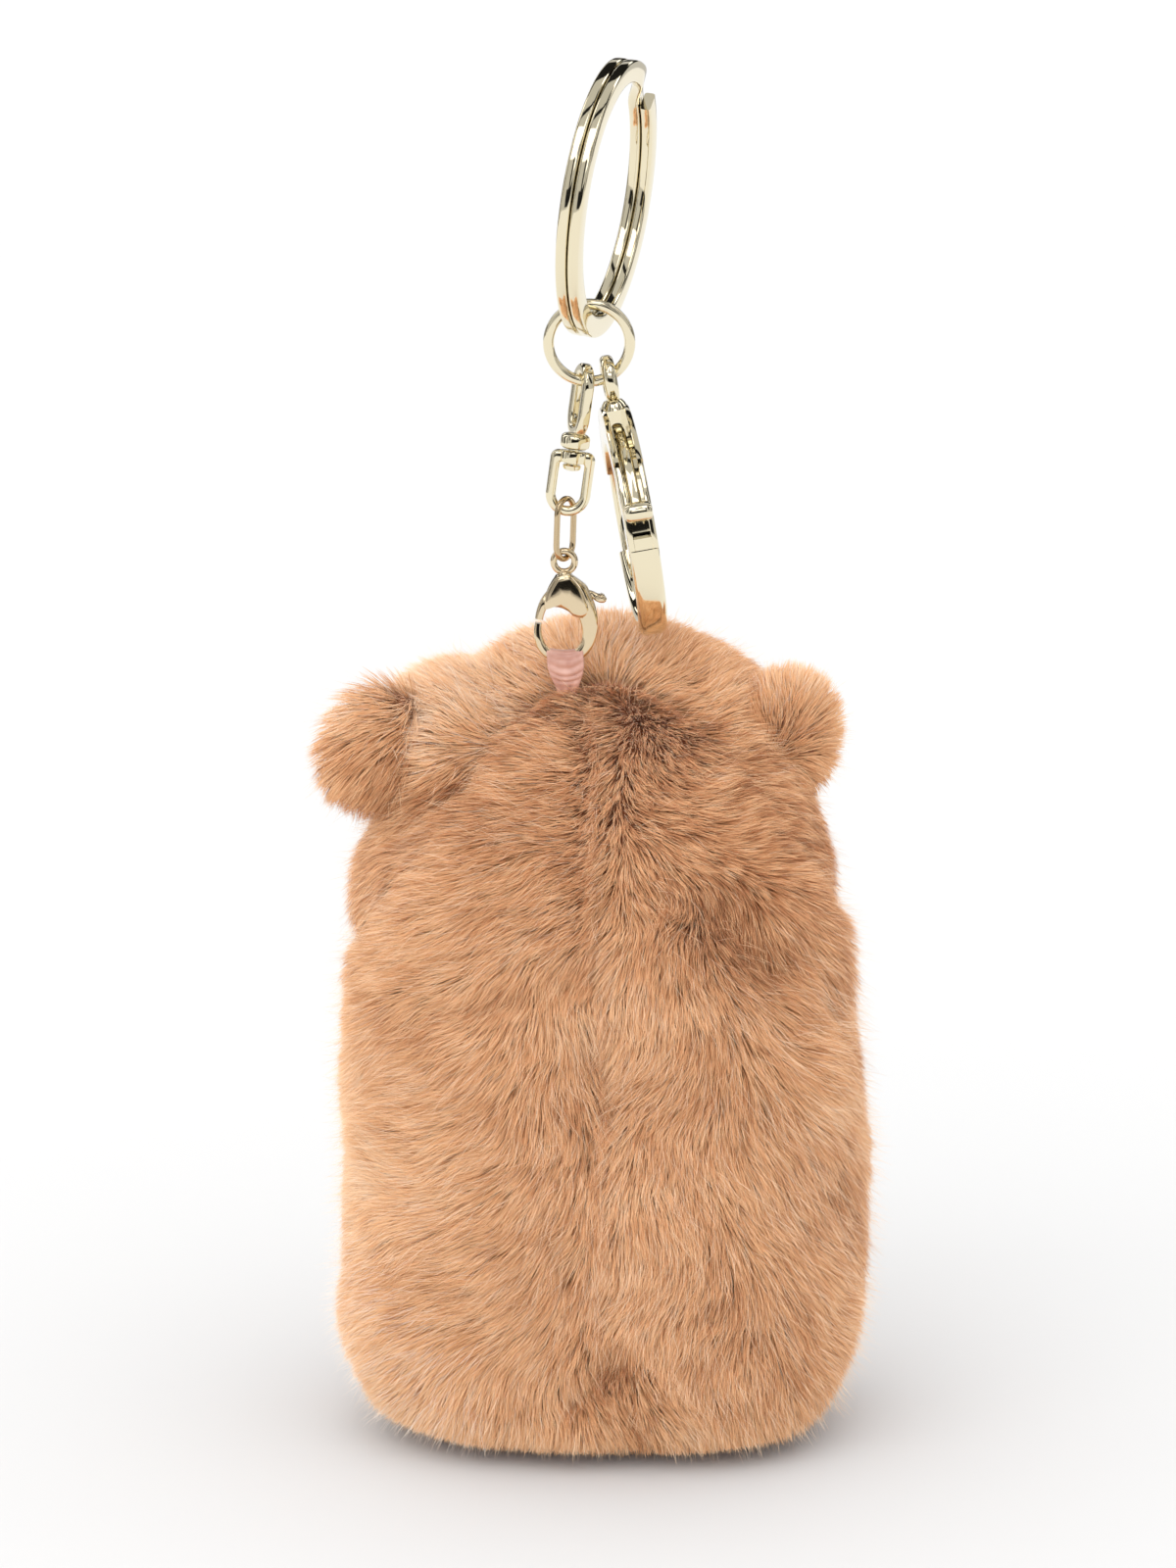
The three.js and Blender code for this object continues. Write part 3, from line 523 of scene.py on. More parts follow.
def claw_body():
    """The cast hook with its head, the eye that hangs on the oval link, and the neck between them."""
    hook, cheeks = claw_hook(), claw_cheeks()
    radius, drop = 1.15, 0.3
    eye_path = [(x, 0, z - drop) for x, z in circle(radius, 48)]
    eye = sweep("eye", eye_path, circle(0.38, 16), (0, 1, 0), CLAW_GOLD, LOBSTER)
    profile = [(0, -1.2), (0.5, -1.3), (0.72, -1.55), (0.8, -1.9), (0.7, -2.2), (0, -2.4)]
    neck = lathe("neck", profile, CLAW_GOLD, LOBSTER)
    return join("lobster_clasp_body", [hook, *cheeks, eye, neck])


def claw_lever():
    """The gate arm down the +X side, and a flattened tail on -X."""
    gate = bezier([(0.2, -3.4), (1.2, -3.4), (2.5, -4.6), (2.8, -6.6)], 16)
    depths = [(0, 0.4), (0.5, 0.5), (0.65, 0.75), (1, 0.78)]
    arm = claw_bar("arm", gate, [(0, 1.35), (1, 0.85)], depths, 0.4, 5)
    back = bezier(
        [(0, -3.5), (-1.2, -4.1), (-2.5, -3.6), (-3.3, -4.1), (-3.7, -4.4), (-4.1, -4.5), (-4.5, -4.2)], 9
    )
    widths = [(0, 1), (0.5, 0.7), (0.9, 1), (1, 0.6)]
    depths = [(0, 0.4), (0.5, 0.42), (0.8, 0.9), (0.95, 0.8), (1, 0.4)]
    tail = claw_bar("tail", back, widths, depths, 0.4, 5)
    return join("lobster_clasp_lever", [arm, tail])


fit(claw_body(), "lobster_clasp", "gold", "lobster_body")
fit(claw_lever(), "lobster_lever", "gold", "lobster_lever")


# ------------------------------------------------------------------ round trigger clip
def u_section(inner, outer, floor, channel, thick, middle):
    """A channel's section, measured outwards from the radius middle; its corners are rounded."""
    h, c = thick / 2, channel / 2
    r = 0.28
    corner = [(outer - middle - r, h), (outer - middle - 0.08, h - 0.08), (outer - middle, h - r)]
    low = [(inner - middle, h - r), (inner - middle + 0.08, h - 0.08), (inner - middle + r, h)]
    half = low + corner + [(outer - middle, c + 0.06), (outer - middle - 0.06, c), (floor - middle, c)]
    return half + [(x, -y) for x, y in reversed(half)]


def on_ring(name, radius, start, end, steps, section, **options):
    """A bar with the given section that runs along the clip's ring, from start to end in degrees."""
    path = [(0, y, z) for y, z in arc(radius, start, end, steps)]
    return sweep(name, path, section, (1, 0, 0), GOLD, CLIP_RING, False, **options)


def channel_part(name, outer, start, end, steps):
    inner, floor, wide, thick, middle = CHANNEL.values()
    section = u_section(inner, outer, floor, wide, thick, middle)
    return on_ring(name, middle, start, end, steps, section, sharp=40)


def clip_body():
    """The hook, the channel that the lever's stem lies in, and the eye that hangs on the jump ring."""
    thick, middle = CLIP["thick"], (CLIP["outer"] + CLIP["inner"]) / 2
    hook = on_ring("hook", middle, -155, 1, 110, rounded_rect(CLIP["outer"] - CLIP["inner"], thick, 0.85, 6))
    shoulder = channel_part("shoulder", CLIP["outer"], -8, 42, 30)
    housing = channel_part("housing", CLIP_RIM, 40, 150, 70)
    ends = [
        on_ring("end", CHANNEL["middle"], start, end, 4, rounded_rect(thick + more, thick - 0.1, 0.4, 4))
        for start, end, more in ((-9, -5, 0), (86, 91, 0.6))
    ]
    profile = [(0, 0.6), (1.0, 0.5), (1.3, 0.1), (1.5, -0.5), (0, -0.6)]
    bridge = lathe("bridge", profile, GOLD, CLIP_RING @ along_z(CLIP_RIM + 0.2))
    radius = CLIP["eye"]
    eye_path = [(0, radius * y, radius * z * (1.12 if z > 0 else 1.05) - 0.42) for y, z in circle(1.0, 56)]
    eye = sweep("eye", eye_path, rounded_rect(1.4, 1.5, 0.6, 6), (1, 0, 0), GOLD, CLIP_SET)
    return join("trigger_clip_body", [hook, shoulder, housing, *ends, bridge, eye])


def clip_lever():
    """The gate that shuts the ring, its stem in the channel and the knob for the thumb."""
    gate = on_ring("gate", 11.4, 150, 218, 50, rounded_rect(1.6, 2.4, 0.6, 6))
    bar = on_ring("bar", 10.5, 54, 80, 26, rounded_rect(1.2, 1.25, 0.5, 5))
    stem = on_ring("stem", 10.4, 8, 152, 80, rounded_rect(0.9, 1.25, 0.25, 3))
    tail = on_ring("tail", 10.9, 8, 52, 30, rounded_rect(1.4, 1.25, 0.3, 4))
    knob_angle, knob_radius = 14, 13.25
    on_arc = CLIP_RING @ turn("X", knob_angle - 90)
    neck = lathe("neck", [(0, 13), (0.62, 12.9), (0.6, 11.7), (0.5, 10.6), (0, 10.5)], GOLD, on_arc)
    barrel = [(0, 1.55), (0.5, 1.52), (0.85, 1.38), (1.02, 1.1), (1.08, 0.7), (1.1, 0.3), (1.1, 0)]
    profile = barrel + [(r, -x) for r, x in reversed(barrel[:-1])]
    knob = lathe("knob", profile, GOLD, on_arc @ along_z(knob_radius) @ turn("Y", 90))
    return join("trigger_clip_lever", [gate, bar, stem, tail, neck, knob])


fit(clip_body(), "trigger_clip", "gold", "clip_body")
fit(clip_lever(), "clip_lever", "gold", "clip_lever", "clip_knob")


# ------------------------------------------------------------------ the animal's skin
def smooth_step(x, low, high):
    t = np.clip((x - low) / (high - low), 0, 1)
    return t * t * (3 - 2 * t)


def bell(x, middle, wide):
    return np.exp(-(((x - middle) / wide) ** 2))


class Waves:
    """A smooth random field: a few plane waves with random directions and phases."""

    def __init__(self, wavelength, count=12):
        ways = unit_rows(RNG.normal(size=(count, 3)))
        self.ways = ways * (2 * np.pi / wavelength) * RNG.uniform(0.7, 1.4, (count, 1))
        self.phases = RNG.uniform(0, 2 * np.pi, count)

    def __call__(self, points):
        return np.sin(points @ self.ways.T + self.phases).sum(1) / math.sqrt(len(self.phases) / 2)


lumps, dimples = Waves(34), Waves(13)


def skin_points(unit, inset):
    """The animal's outer shape for points on the unit sphere, moved inwards by inset.

    It is a rounded box that leans back, and the powers say how square its corners are.
    """
    plan, above, below = 2.7, 3.05, 4.5
    under_floor = 2.5  # the box would reach this far under the floor, and is cut flat there
    a = np.abs(unit)
    round_by = np.where(unit[:, 2] > 0, above, below)
    flat = (a[:, 0] ** plan + a[:, 1] ** plan) ** (1 / plan)
    v = unit * ((flat ** round_by + a[:, 2] ** round_by) ** (-1 / round_by))[:, None]
    up = BODY["top"] - BODY["middle"]
    height = BODY["middle"] + np.where(v[:, 2] > 0, up, BODY["middle"] + under_floor) * v[:, 2]
    low = np.maximum(height, 0)
    upper = smooth_step(height, 36, 56)
    hips = 1.8 * bell(height, 11, 9)
    half_width = BODY["half_width"] + 0.5 - inset + hips
    narrowing, leftwards = 1 - 0.085 * upper, 1.2 * upper - 0.4
    half_depth = BODY["half_depth"] - inset - 0.03 * low
    middle_y = 3.6 - 0.045 * low
    crown_fall = np.maximum(v[:, 2], 0) ** 2 * CROWN["slope"]
    x = v[:, 0] * half_width * narrowing + leftwards
    y = middle_y + v[:, 1] * half_depth
    z = height - crown_fall * y - inset * v[:, 2]
    return np.stack([x, y, np.maximum(z, inset)], 1)


def above_seam(points):
    """How far a place is above the arched seam that joins the crown to the panels, in mm."""
    return points[:, 2] - CROWN["seam"] + CROWN["fall"] * points[:, 0] ** 2


def groove(name, off):
    """How deep a seam's groove is at the distance off from the seam."""
    wide, deep = SEAMS[name]
    return deep * bell(off, 0, wide)


def seam_depths(p):
    """How far the skin is drawn in at its seams and creases, in mm."""
    x, y, _ = p.T
    above = above_seam(p)
    back = groove("back", x) * smooth_step(y, 2, 10) * (above < 0)
    crown = groove("crown", above) * smooth_step(y, -14, 0)
    side = groove("side", y - SIDE_SEAM) * (above < 0)
    return back + crown + side + crease_depths(p)


# Creases in the back: from x, z to x, z, then how wide and how deep, in mm.
CREASES = [
    (20, 50, 1.6, 56.6, 1.8, 1.1), (-13, 62, -17, 56, 2.4, 1.5), (3.5, 9, -2, 13.8, 1.3, 2.2),
    (-2.5, 8, -4, 1, 1.4, 1.8), (1.5, 49, -1.5, 41, 1.2, 1.2), (14, 76, 22, 69.5, 2.0, 2.6),
    (5, 30, 4, 24, 1.3, 0.9),
]


def crease_depths(p):
    x, y, z = p.T
    depth = np.zeros(len(p))
    for x0, z0, x1, z1, wide, deep in CREASES:
        run = np.array([x1 - x0, z1 - z0])
        along = np.clip(((x - x0) * run[0] + (z - z0) * run[1]) / (run @ run), 0, 1)
        off = np.hypot(x - x0 - along * run[0], z - z0 - along * run[1])
        depth = np.maximum(depth, deep * bell(off, 0, wide))
    return depth * smooth_step(y, 4, 9)


def shoulders(p):
    """How far the crown's corners stand out over the ears, in mm."""
    x, _, z = p.T
    return bell(z, 80.5, 6.5) * (4.8 * bell(x, 20, 5.5) + 2.4 * bell(x, -17, 6))


def tree_of(points):
    tree = kdtree.KDTree(len(points))
    for i, p in enumerate(points):
        tree.insert(p, i)
    tree.balance()
    return tree


def unit_sphere(level):
    bm = bmesh.new()
    bmesh.ops.create_icosphere(bm, subdivisions=level, radius=1)
    verts = np.array([v.co for v in bm.verts])
    faces = np.array([[v.index for v in f.verts] for f in bm.faces])
    bm.free()
    return unit_rows(verts), faces


def face_crosses(points, faces):
    """Each triangle's normal, as long as twice its area."""
    a, b, c = (points[faces[:, k]] for k in range(3))
    return np.cross(b - a, c - a)


def vertex_normals(points, faces):
    normals = np.zeros_like(points)
    for k in range(3):
        np.add.at(normals, faces[:, k], face_crosses(points, faces))
    return unit_rows(normals)


LUMP, DIMPLE = 0.55, 0.22  # how high the skin's long and short waves are
UNDERCOAT = 1.0  # the cloth under the pile is this far inside the CAD's outer face
BASE_EDGE = 2.2  # the base panel's seam is this far above the floor
STUFFING = {"frames": 20, "quality": 6, "pressure": 4, "grow": 20, "mass": 0.05, "reach": 1.4}


def sewn_skin(unit, faces):
    """The six panels as cut and sewn, before the stuffing settles."""
    points = skin_points(unit, UNDERCOAT)
    rise = LUMP * lumps(points) + DIMPLE * dimples(points) - seam_depths(points) + shoulders(points)
    rise *= smooth_step(points[:, 2], 1.2, 7)
    return points + vertex_normals(points, faces) * rise[:, None]


def swelling(points, faces):
    """How the stuffing's pressure moves each point of the skin, whose seams and base are held.

    The cloth solver works badly on millimetres, so it is given a copy that is STUFFING["grow"] times larger.
    """
    grow = STUFFING["grow"]
    form = make("skin_form", points * grow, faces.tolist(), None)
    free_depth, base_height, least = 0.25, 2.5, 0.02  # shallower grooves move freely
    held = np.clip(seam_depths(points) - free_depth, 0, 1) + (points[:, 2] < base_height)
    seams = form.vertex_groups.new(name="seams")
    for index in np.nonzero(held > least)[0]:
        seams.add([int(index)], float(min(held[index], 1)), "REPLACE")
    cloth = form.modifiers.new("cloth", "CLOTH")
    settings = cloth.settings
    settings.quality, settings.mass = STUFFING["quality"], STUFFING["mass"]
    settings.use_pressure, settings.uniform_pressure_force = True, STUFFING["pressure"]
    settings.effector_weights.gravity = 0
    settings.vertex_group_mass = "seams"
    cloth.point_cache.frame_end = STUFFING["frames"]
    for step in range(1, STUFFING["frames"] + 1):
        bpy.context.scene.frame_set(step)
    swollen = form.evaluated_get(bpy.context.evaluated_depsgraph_get()).data
    after = np.zeros(len(points) * 3)
    swollen.vertices.foreach_get("co", after)
    bpy.data.objects.remove(form)
    bpy.context.scene.frame_set(1)
    move = after.reshape(-1, 3) / (MM * grow) - points
    far = np.linalg.norm(move, axis=1)
    return move * (np.minimum(far, STUFFING["reach"]) / np.maximum(far, 1e-9))[:, None]


def stuffed(skin, unit):
    """The skin, moved as the simulation moves a coarser copy of it."""
    coarse_unit, coarse_faces = unit_sphere(5)
    move = swelling(sewn_skin(coarse_unit, coarse_faces), coarse_faces)
    tree = tree_of(coarse_unit)
    near = [tree.find_n(p, 4) for p in unit]
    rows = np.array([[i for _, i, _ in found] for found in near])
    weights = 1 / (np.array([[d for _, _, d in found] for found in near]) + 1e-4)
    weights /= weights.sum(1)[:, None]
    return skin + (move[rows] * weights[:, :, None]).sum(1)


unit, skin_faces = unit_sphere(6)
skin = sewn_skin(unit, skin_faces)
skin = stuffed(skin, unit)
skin_normals = vertex_normals(skin, skin_faces)


def cloth_look(name, dark, light):
    look = Look(name, Roughness=0.95, Sheen_Weight=0.3, Sheen_Roughness=0.5)
    look.colour(look.ramp(look.noise(420, 4, 0.65), [(0.35, dark), (0.65, light)]))
    look.bump(look.noise(1500, 3, 0.6), 0.6, 0.0002)
    return look.material


UNDER_FUR = cloth_look("fur_backing", linear(128, 76, 46), linear(172, 112, 72))
UNDER_PALE = cloth_look("pale_fur_backing", linear(160, 108, 82), linear(196, 142, 112))


def region_of(centres):
    """Which fabric panel each face belongs to."""
    x, y, z = centres.T
    names = np.where(x > 0, "back_panel_left", "back_panel_right")
    names = np.where(y < SIDE_SEAM, np.where(z > NECK, "face_panel", "belly_panel"), names)
    names = np.where(above_seam(centres) > 0, "crown_panel", names)
    return np.where(z < BASE_EDGE, "base_panel", names)


def to_row(points):
    return points + ANIMAL


panel_of = region_of(skin[skin_faces].mean(1))
PANELS = {
    "back_panel_left": UNDER_FUR, "back_panel_right": UNDER_FUR, "face_panel": UNDER_FUR,
    "belly_panel": UNDER_FUR, "crown_panel": UNDER_PALE, "base_panel": UNDER_FUR,
}
for name, look in PANELS.items():
    chosen = skin_faces[panel_of == name]
    used, faces = np.unique(chosen, return_inverse=True)
    piece = make(name + "_cloth", to_row(skin[used]), faces.reshape(-1, 3).tolist(), look)
    fit(piece, "plush", "pale_fur" if name == "crown_panel" else "fur", name)
    if name == "back_panel_left":
        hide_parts("stuffing_core")


# ------------------------------------------------------------------ fur
TINTS = [  # from the darkest to the palest strands
    linear(180, 120, 78), linear(209, 152, 106), linear(229, 177, 129), linear(240, 193, 146),
    linear(246, 207, 165), linear(250, 218, 186), linear(252, 230, 212),
]
# The roots are painted darker, as painted shade deep in the pile. The tips are a little paler.
PAINTED_ROOT_SHADE = (0.74, 1.0, 1.06)  # root, middle and tip of a strand


def fur_materials():
    made = []
    for i, tint in enumerate(TINTS):
        for j, shade in enumerate(PAINTED_ROOT_SHADE):
            # Each tint has a darker root copy for the painted shade deep in the pile, a middle copy, and a
            # paler tip copy.
            colour = [min(c * shade, 1) for c in tint[:3]] + [1]
            look = Look(f"fur_strand_{i}_{j}", Base_Color=colour, Roughness=0.6, Sheen_Weight=0.25,
                        Sheen_Roughness=0.4, Specular_IOR_Level=0.3)
            look.span(look.noise(700, 2, 0.5), 0.5, 0.72, "Roughness")
            made.append(look.material)
    return made


FUR_LOOKS = fur_materials()
STATIONS = np.array([0, 0.3, 0.65, 1.0])
PILE_STRANDS = 38000
FREE = 0.09  # the share of fine, longer strands that stand out of the pile
TRIM, RAISE = 0.74, 11  # how much the stroked lengths are cut, and how much steeper they stand, in degrees
WANDER = (14, 9, 6)  # how far the strokes wander over long, middling and short distances, in degrees
STRAY, TUFT_STRAY, FREE_STRAY = 10, 9, 22  # how far single strands stray from the stroke, in degrees
MOTTLE = {"far": 0.3, "near": 0.25, "tuft": 0.45, "strand": 0.5}  # how the tone varies, in steps of TINTS
wander_far, wander_near, wander_fine = Waves(20), Waves(8), Waves(3)
tone_far, tone_near, flecks = Waves(22), Waves(6), Waves(2.4)


def scatter(points, normals, faces, density):
    """Random places on a triangle mesh, with their smooth normals."""
    area = np.linalg.norm(face_crosses(points, faces), axis=1) / 2
    count = int(area.sum() * density)
    chosen = RNG.choice(len(faces), count, p=area / area.sum())
    a, b = np.sqrt(RNG.random(count)), RNG.random(count)
    weights = np.stack([1 - a, a * (1 - b), a * b], 1)[:, :, None]
    held = faces[chosen]
    return (points[held] * weights).sum(1), unit_rows((normals[held] * weights).sum(1))


def curves_of(roots, normals, comb, stray):
    """The stations of each strand: it rises from its root and bends over along the comb."""
    way, lift, fall, length = comb(roots, normals)
    along = unit_rows(way - (way * normals).sum(1)[:, None] * normals)
    far, near, fine = WANDER
    swerve = far * wander_far(roots) + near * wander_near(roots) + fine * wander_fine(roots)
    swerve = np.radians(swerve + RNG.normal(0, stray, len(roots)))
    lean = RNG.normal(0, 0.5 * stray, len(roots))
    length = length * RNG.uniform(0.78, 1.12, len(roots))
    across = np.cross(normals, along)
    along = along * np.cos(swerve)[:, None] + across * np.sin(swerve)[:, None]
    stations, place = [], roots.copy()
    for before, after in zip(STATIONS[:-1], STATIONS[1:]):
        stations.append(place)
        angle = np.radians(lift + lean + (fall - lift) * (before + after) / 2)
        step = (length * (after - before))[:, None]
        place = place + step * (along * np.cos(angle)[:, None] + normals * np.sin(angle)[:, None])
    stations.append(place)
    return np.stack(stations, 1)


def fur(name, slot, surface, comb, density, tone, width=0.105, tuft=0.5, pull=0.5):
    """Strands over a surface, gathered in small tufts, as meshes of at most PILE_STRANDS each."""
    roots, normals = scatter(*surface, density)
    tuft_roots, tuft_normals = scatter(*surface, 1 / tuft ** 2)
    tree = tree_of(tuft_roots)
    owner = np.array([tree.find(p)[1] for p in roots])

    strands = curves_of(roots, normals, comb, STRAY)
    leaders = curves_of(tuft_roots, tuft_normals, comb, TUFT_STRAY)
    strength = pull * RNG.uniform(0.4, 1.3, len(leaders))[owner]
    gather = np.minimum(strength[:, None] * STATIONS[None, :] ** 1.3, 0.95)
    strands += (leaders[owner] - strands) * gather[:, :, None]
    shade = tone(roots) + MOTTLE["far"] * tone_far(roots) + MOTTLE["near"] * tone_near(roots)
    shade += RNG.normal(0, MOTTLE["tuft"], len(leaders))[owner] + RNG.normal(0, MOTTLE["strand"], len(roots))
    wide = width * RNG.uniform(0.75, 1.25, len(roots))

    def longer(points, normals):
        way, lift, fall, length = comb(points, normals)
        return way, lift + 8, fall + 16, length * 1.3

    free_roots, free_normals = scatter(*surface, density * FREE)
    strands = np.concatenate([strands, curves_of(free_roots, free_normals, longer, FREE_STRAY)])
    normals = np.concatenate([normals, free_normals])
    shade = np.concatenate([shade, tone(free_roots) + 2.5])
    wide = np.concatenate([wide, np.full(len(free_roots), width * 0.45)])

    strands[:, :, 2] = np.maximum(strands[:, :, 2], 0.2)  # above the floor
    tint = np.clip(np.round(shade), 0, len(TINTS) - 1).astype(int)
    order = np.argsort(strands[:, 0, 2])
    parts = math.ceil(len(order) / PILE_STRANDS)
    for number, chosen in enumerate(np.array_split(order, parts)):
        label = name if parts == 1 else f"{name}_{number + 1}"
        strand_mesh(label, strands[chosen], normals[chosen], tint[chosen], wide[chosen])


def strand_mesh(name, strands, normals, tint, wide):
    """Each strand is a thin flat ribbon of three faces that narrows to its tip."""
    count = len(strands)
    run = unit_rows(strands[:, 3] - strands[:, 0])
    side = unit_rows(np.cross(run, normals))
    roll = RNG.normal(0, 0.5, count)[:, None]
    side = unit_rows(side * np.cos(roll) + np.cross(run, side) * np.sin(roll))
    verts = np.zeros((count, 7, 3))
    for k, taper in enumerate((1, 0.95, 0.62)):
        offset = side * (wide * taper / 2)[:, None]
        verts[:, 2 * k] = strands[:, k] - offset
        verts[:, 2 * k + 1] = strands[:, k] + offset
    verts[:, 6] = strands[:, 3]
    loops = np.array([0, 1, 3, 2, 2, 3, 5, 4, 4, 5, 6])
    loop_verts = (loops[None, :] + 7 * np.arange(count)[:, None]).ravel()

    mesh = bpy.data.meshes.new(name)
    mesh.vertices.add(count * 7)
    mesh.vertices.foreach_set("co", (to_row(verts.reshape(-1, 3)) * MM).astype(np.float32).ravel())
    mesh.loops.add(len(loop_verts))
    mesh.loops.foreach_set("vertex_index", loop_verts.astype(np.int32))
    starts = (np.array([0, 4, 8])[None, :] + 11 * np.arange(count)[:, None]).ravel()
    mesh.polygons.add(count * 3)
    mesh.polygons.foreach_set("loop_start", starts.astype(np.int32))
    for look in FUR_LOOKS:
        mesh.materials.append(look)
    indices = (tint[:, None] * 3 + np.arange(3)[None, :]).ravel()
    mesh.polygons.foreach_set("material_index", indices.astype(np.int32))
    mesh.polygons.foreach_set("use_smooth", np.ones(count * 3, bool))
    mesh.update()
    mesh.validate()
    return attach(in_scene(name, mesh), "plush")


# How the pile was stroked. Each row is a place on the animal (x, y, z in mm), the way that the
# strands lie there, how steeply they stand at the tip in degrees, and how long they are.
STROKES = np.array([
    # upper back, left of the seam: strokes run outwards, nearly level
    (10.3, 20, 79, 1, 0, -0.15, 14, 6.5), (19, 17, 76, 0.9, 0, -0.45, 14, 6),
    (15.7, 20, 71, 1, 0, 0.05, 12, 6.5), (6, 21, 71, 1, 0, -0.1, 12, 6.5),
    (12.4, 21, 60, 1, 0, -0.35, 14, 6.5), (23, 16, 63, 0.5, 0, -0.85, 16, 6),
    (26, 10, 50, 0.2, -0.3, -1, 16, 6), (17.8, 21, 46, 0.9, 0, -0.45, 14, 6.5),
    (8, 22, 49, 0.75, 0, -0.65, 16, 6.5),
    # the middle, along the seam
    (2.7, 22, 44, 0.15, 0, -1, 16, 6.5), (2, 21, 60, 0.9, 0, -0.45, 16, 6.5),
    (2, 20, 80, 0.8, 0, -0.7, 20, 5), (2, 20, 74, 0.9, 0, -0.5, 18, 5.5),
    (2, 20, 67, 0.9, 0, -0.5, 18, 6),
    # lower back, left
    (23, 16, 35, 1, -0.2, -0.1, 12, 6.5), (12.4, 23, 33, 1, 0, -0.12, 12, 6.5),
    (4.9, 23, 31, 0.9, 0, -0.5, 14, 6.5), (21, 19, 20.5, 0.85, 0, -0.5, 12, 6.5),
    (10.3, 23, 20.5, 0.8, 0, -0.6, 12, 6.5), (3.8, 23, 14, 0.75, 0, -0.7, 14, 6),
    (17.8, 21, 8, 0.5, 0, -0.9, 14, 6), (6, 23, 6, 0.4, 0, -1, 16, 5.5),
    # upper back, right of the seam: short diagonal strokes that stand up more
    (-2, 20, 80, -0.9, 0, -0.4, 14, 5), (-2, 20, 74, -0.9, 0, -0.5, 18, 5.5),
    (-8, 17, 82, -1, 0, -0.25, 12, 5), (-9.2, 20, 74, -0.85, 0, -0.5, 22, 5),
    (-17.8, 17, 74, -0.6, 0, -0.8, 34, 5), (-16, 19, 68, -0.7, 0, -0.7, 38, 5),
    (-22, 15, 70, -0.4, 0, -1, 30, 5), (-3, 21, 67, -0.8, 0, -0.5, 20, 6),
    (-11, 21, 63, 0.85, 0, -0.45, 18, 6.5), (-15.7, 20, 59, 0.1, 0, -1, 22, 6),
    (-20, 17, 57, -0.5, 0, -0.85, 18, 6), (-25, 12, 60, -0.3, 0, -1, 16, 6),
    # lower back, right
    (-9.2, 22, 49, 0.25, 0, -1, 14, 6.5), (-20, 18, 49, -0.15, 0, -1, 14, 6.5),
    (-2.7, 22, 49, 0.1, 0, -1, 16, 6.5), (-9.2, 23, 33, 0.1, 0, -1, 13, 6.5),
    (-22, 17, 33, -0.1, 0, -1, 13, 6.5), (-2.7, 23, 22, 0.25, 0, -1, 14, 6.5),
    (-9.2, 23, 17, 0.05, 0, -1, 13, 6.5), (-22, 17, 17, -0.15, 0, -1, 13, 6.5),
    (-11, 23, 6, -0.2, 0, -1, 16, 6), (0, 24, 5, 0, 0, -1, 18, 5.5),
    (-2, 24, 11, -0.5, 0, -0.8, 30, 4.5), (3, 24, 11, 0.5, 0, -0.7, 30, 4.5),
    # sides and front
    (27, 7, 35, 0, -1, -0.5, 12, 5.5), (27, 8, 20, 0, -0.9, -0.7, 12, 5.5),
    (27, 6, 50, 0, -0.6, -1, 12, 5.5), (26, 6, 63, 0, -0.6, -1, 12, 5.5),
    (27, -2, 40, 0, -0.3, -1, 16, 5.5), (-27, -2, 40, 0, -0.3, -1, 16, 5.5),
    (27, 0, 15, 0, -0.3, -1, 16, 5.5), (-27, 0, 15, 0, -0.3, -1, 16, 5.5),
    (26, -4, 65, 0, -0.2, -1, 18, 5), (-26, -4, 65, 0, -0.2, -1, 18, 5), (0, -18, 30, 0, 0, -1, 18, 4.5),
    (15, -16, 30, 0.3, 0, -1, 18, 4.5), (-15, -16, 30, -0.3, 0, -1, 18, 4.5),
    (0, -19, 68, 0, 0, -1, 24, 3), (0, -17, 78, 0, 0, -1, 20, 3.2), (14, -17, 62, 0.8, 0, -0.5, 24, 3.2),
    (-14, -17, 62, -0.8, 0, -0.5, 24, 3.2), (0, -17, 12, 0, 0, -1, 18, 4.5),
    # crown
    (0, -8, 88, 0, -1, 0, 10, 4.5), (12, -4, 85, 0.9, -0.5, 0.1, 10, 5),
    (-12, -4, 85, -0.9, -0.5, 0.1, 10, 5), (3, 8, 84, 0.9, -0.4, 0.2, 8, 4.5),
    (10, 8, 82, 0.9, -0.4, 0.3, 8, 5), (-10, 8, 82, -0.95, -0.3, -0.1, 8, 5),
    (-4, 8, 84, -0.95, -0.2, 0, 8, 4.5), (20, 2, 78, 0.9, -0.2, -0.1, 12, 5),
    (-20, 2, 78, -0.8, -0.2, -0.5, 14, 4.5), (0, -16, 85, 0, -0.6, -0.8, 14, 4),
    (-5, 14, 84.5, -0.9, 0.3, -0.35, 10, 4.5), (-11, 12, 81.5, -0.95, 0.15, -0.3, 10, 4.5),
])


def body_comb(points, normals):
    """The stroke at each place: the nearest strokes on the same side of the crown's seam, blended."""
    reach = ((points[:, None, :] - STROKES[None, :, :3]) ** 2).sum(2)
    apart = (above_seam(points) > 0)[:, None] != (above_seam(STROKES) > 0)[None, :]
    weights = np.where(apart, 1e-9, (reach + 6) ** -2.2)
    weights /= weights.sum(1)[:, None]
    way = weights @ STROKES[:, 3:6]
    low = smooth_step(points[:, 2], 1.5, 7)
    length = TRIM * (weights @ STROKES[:, 7]) * (0.35 + 0.65 * low)
    fall = weights @ STROKES[:, 6] + RAISE
    return way, fall + 28, fall, length


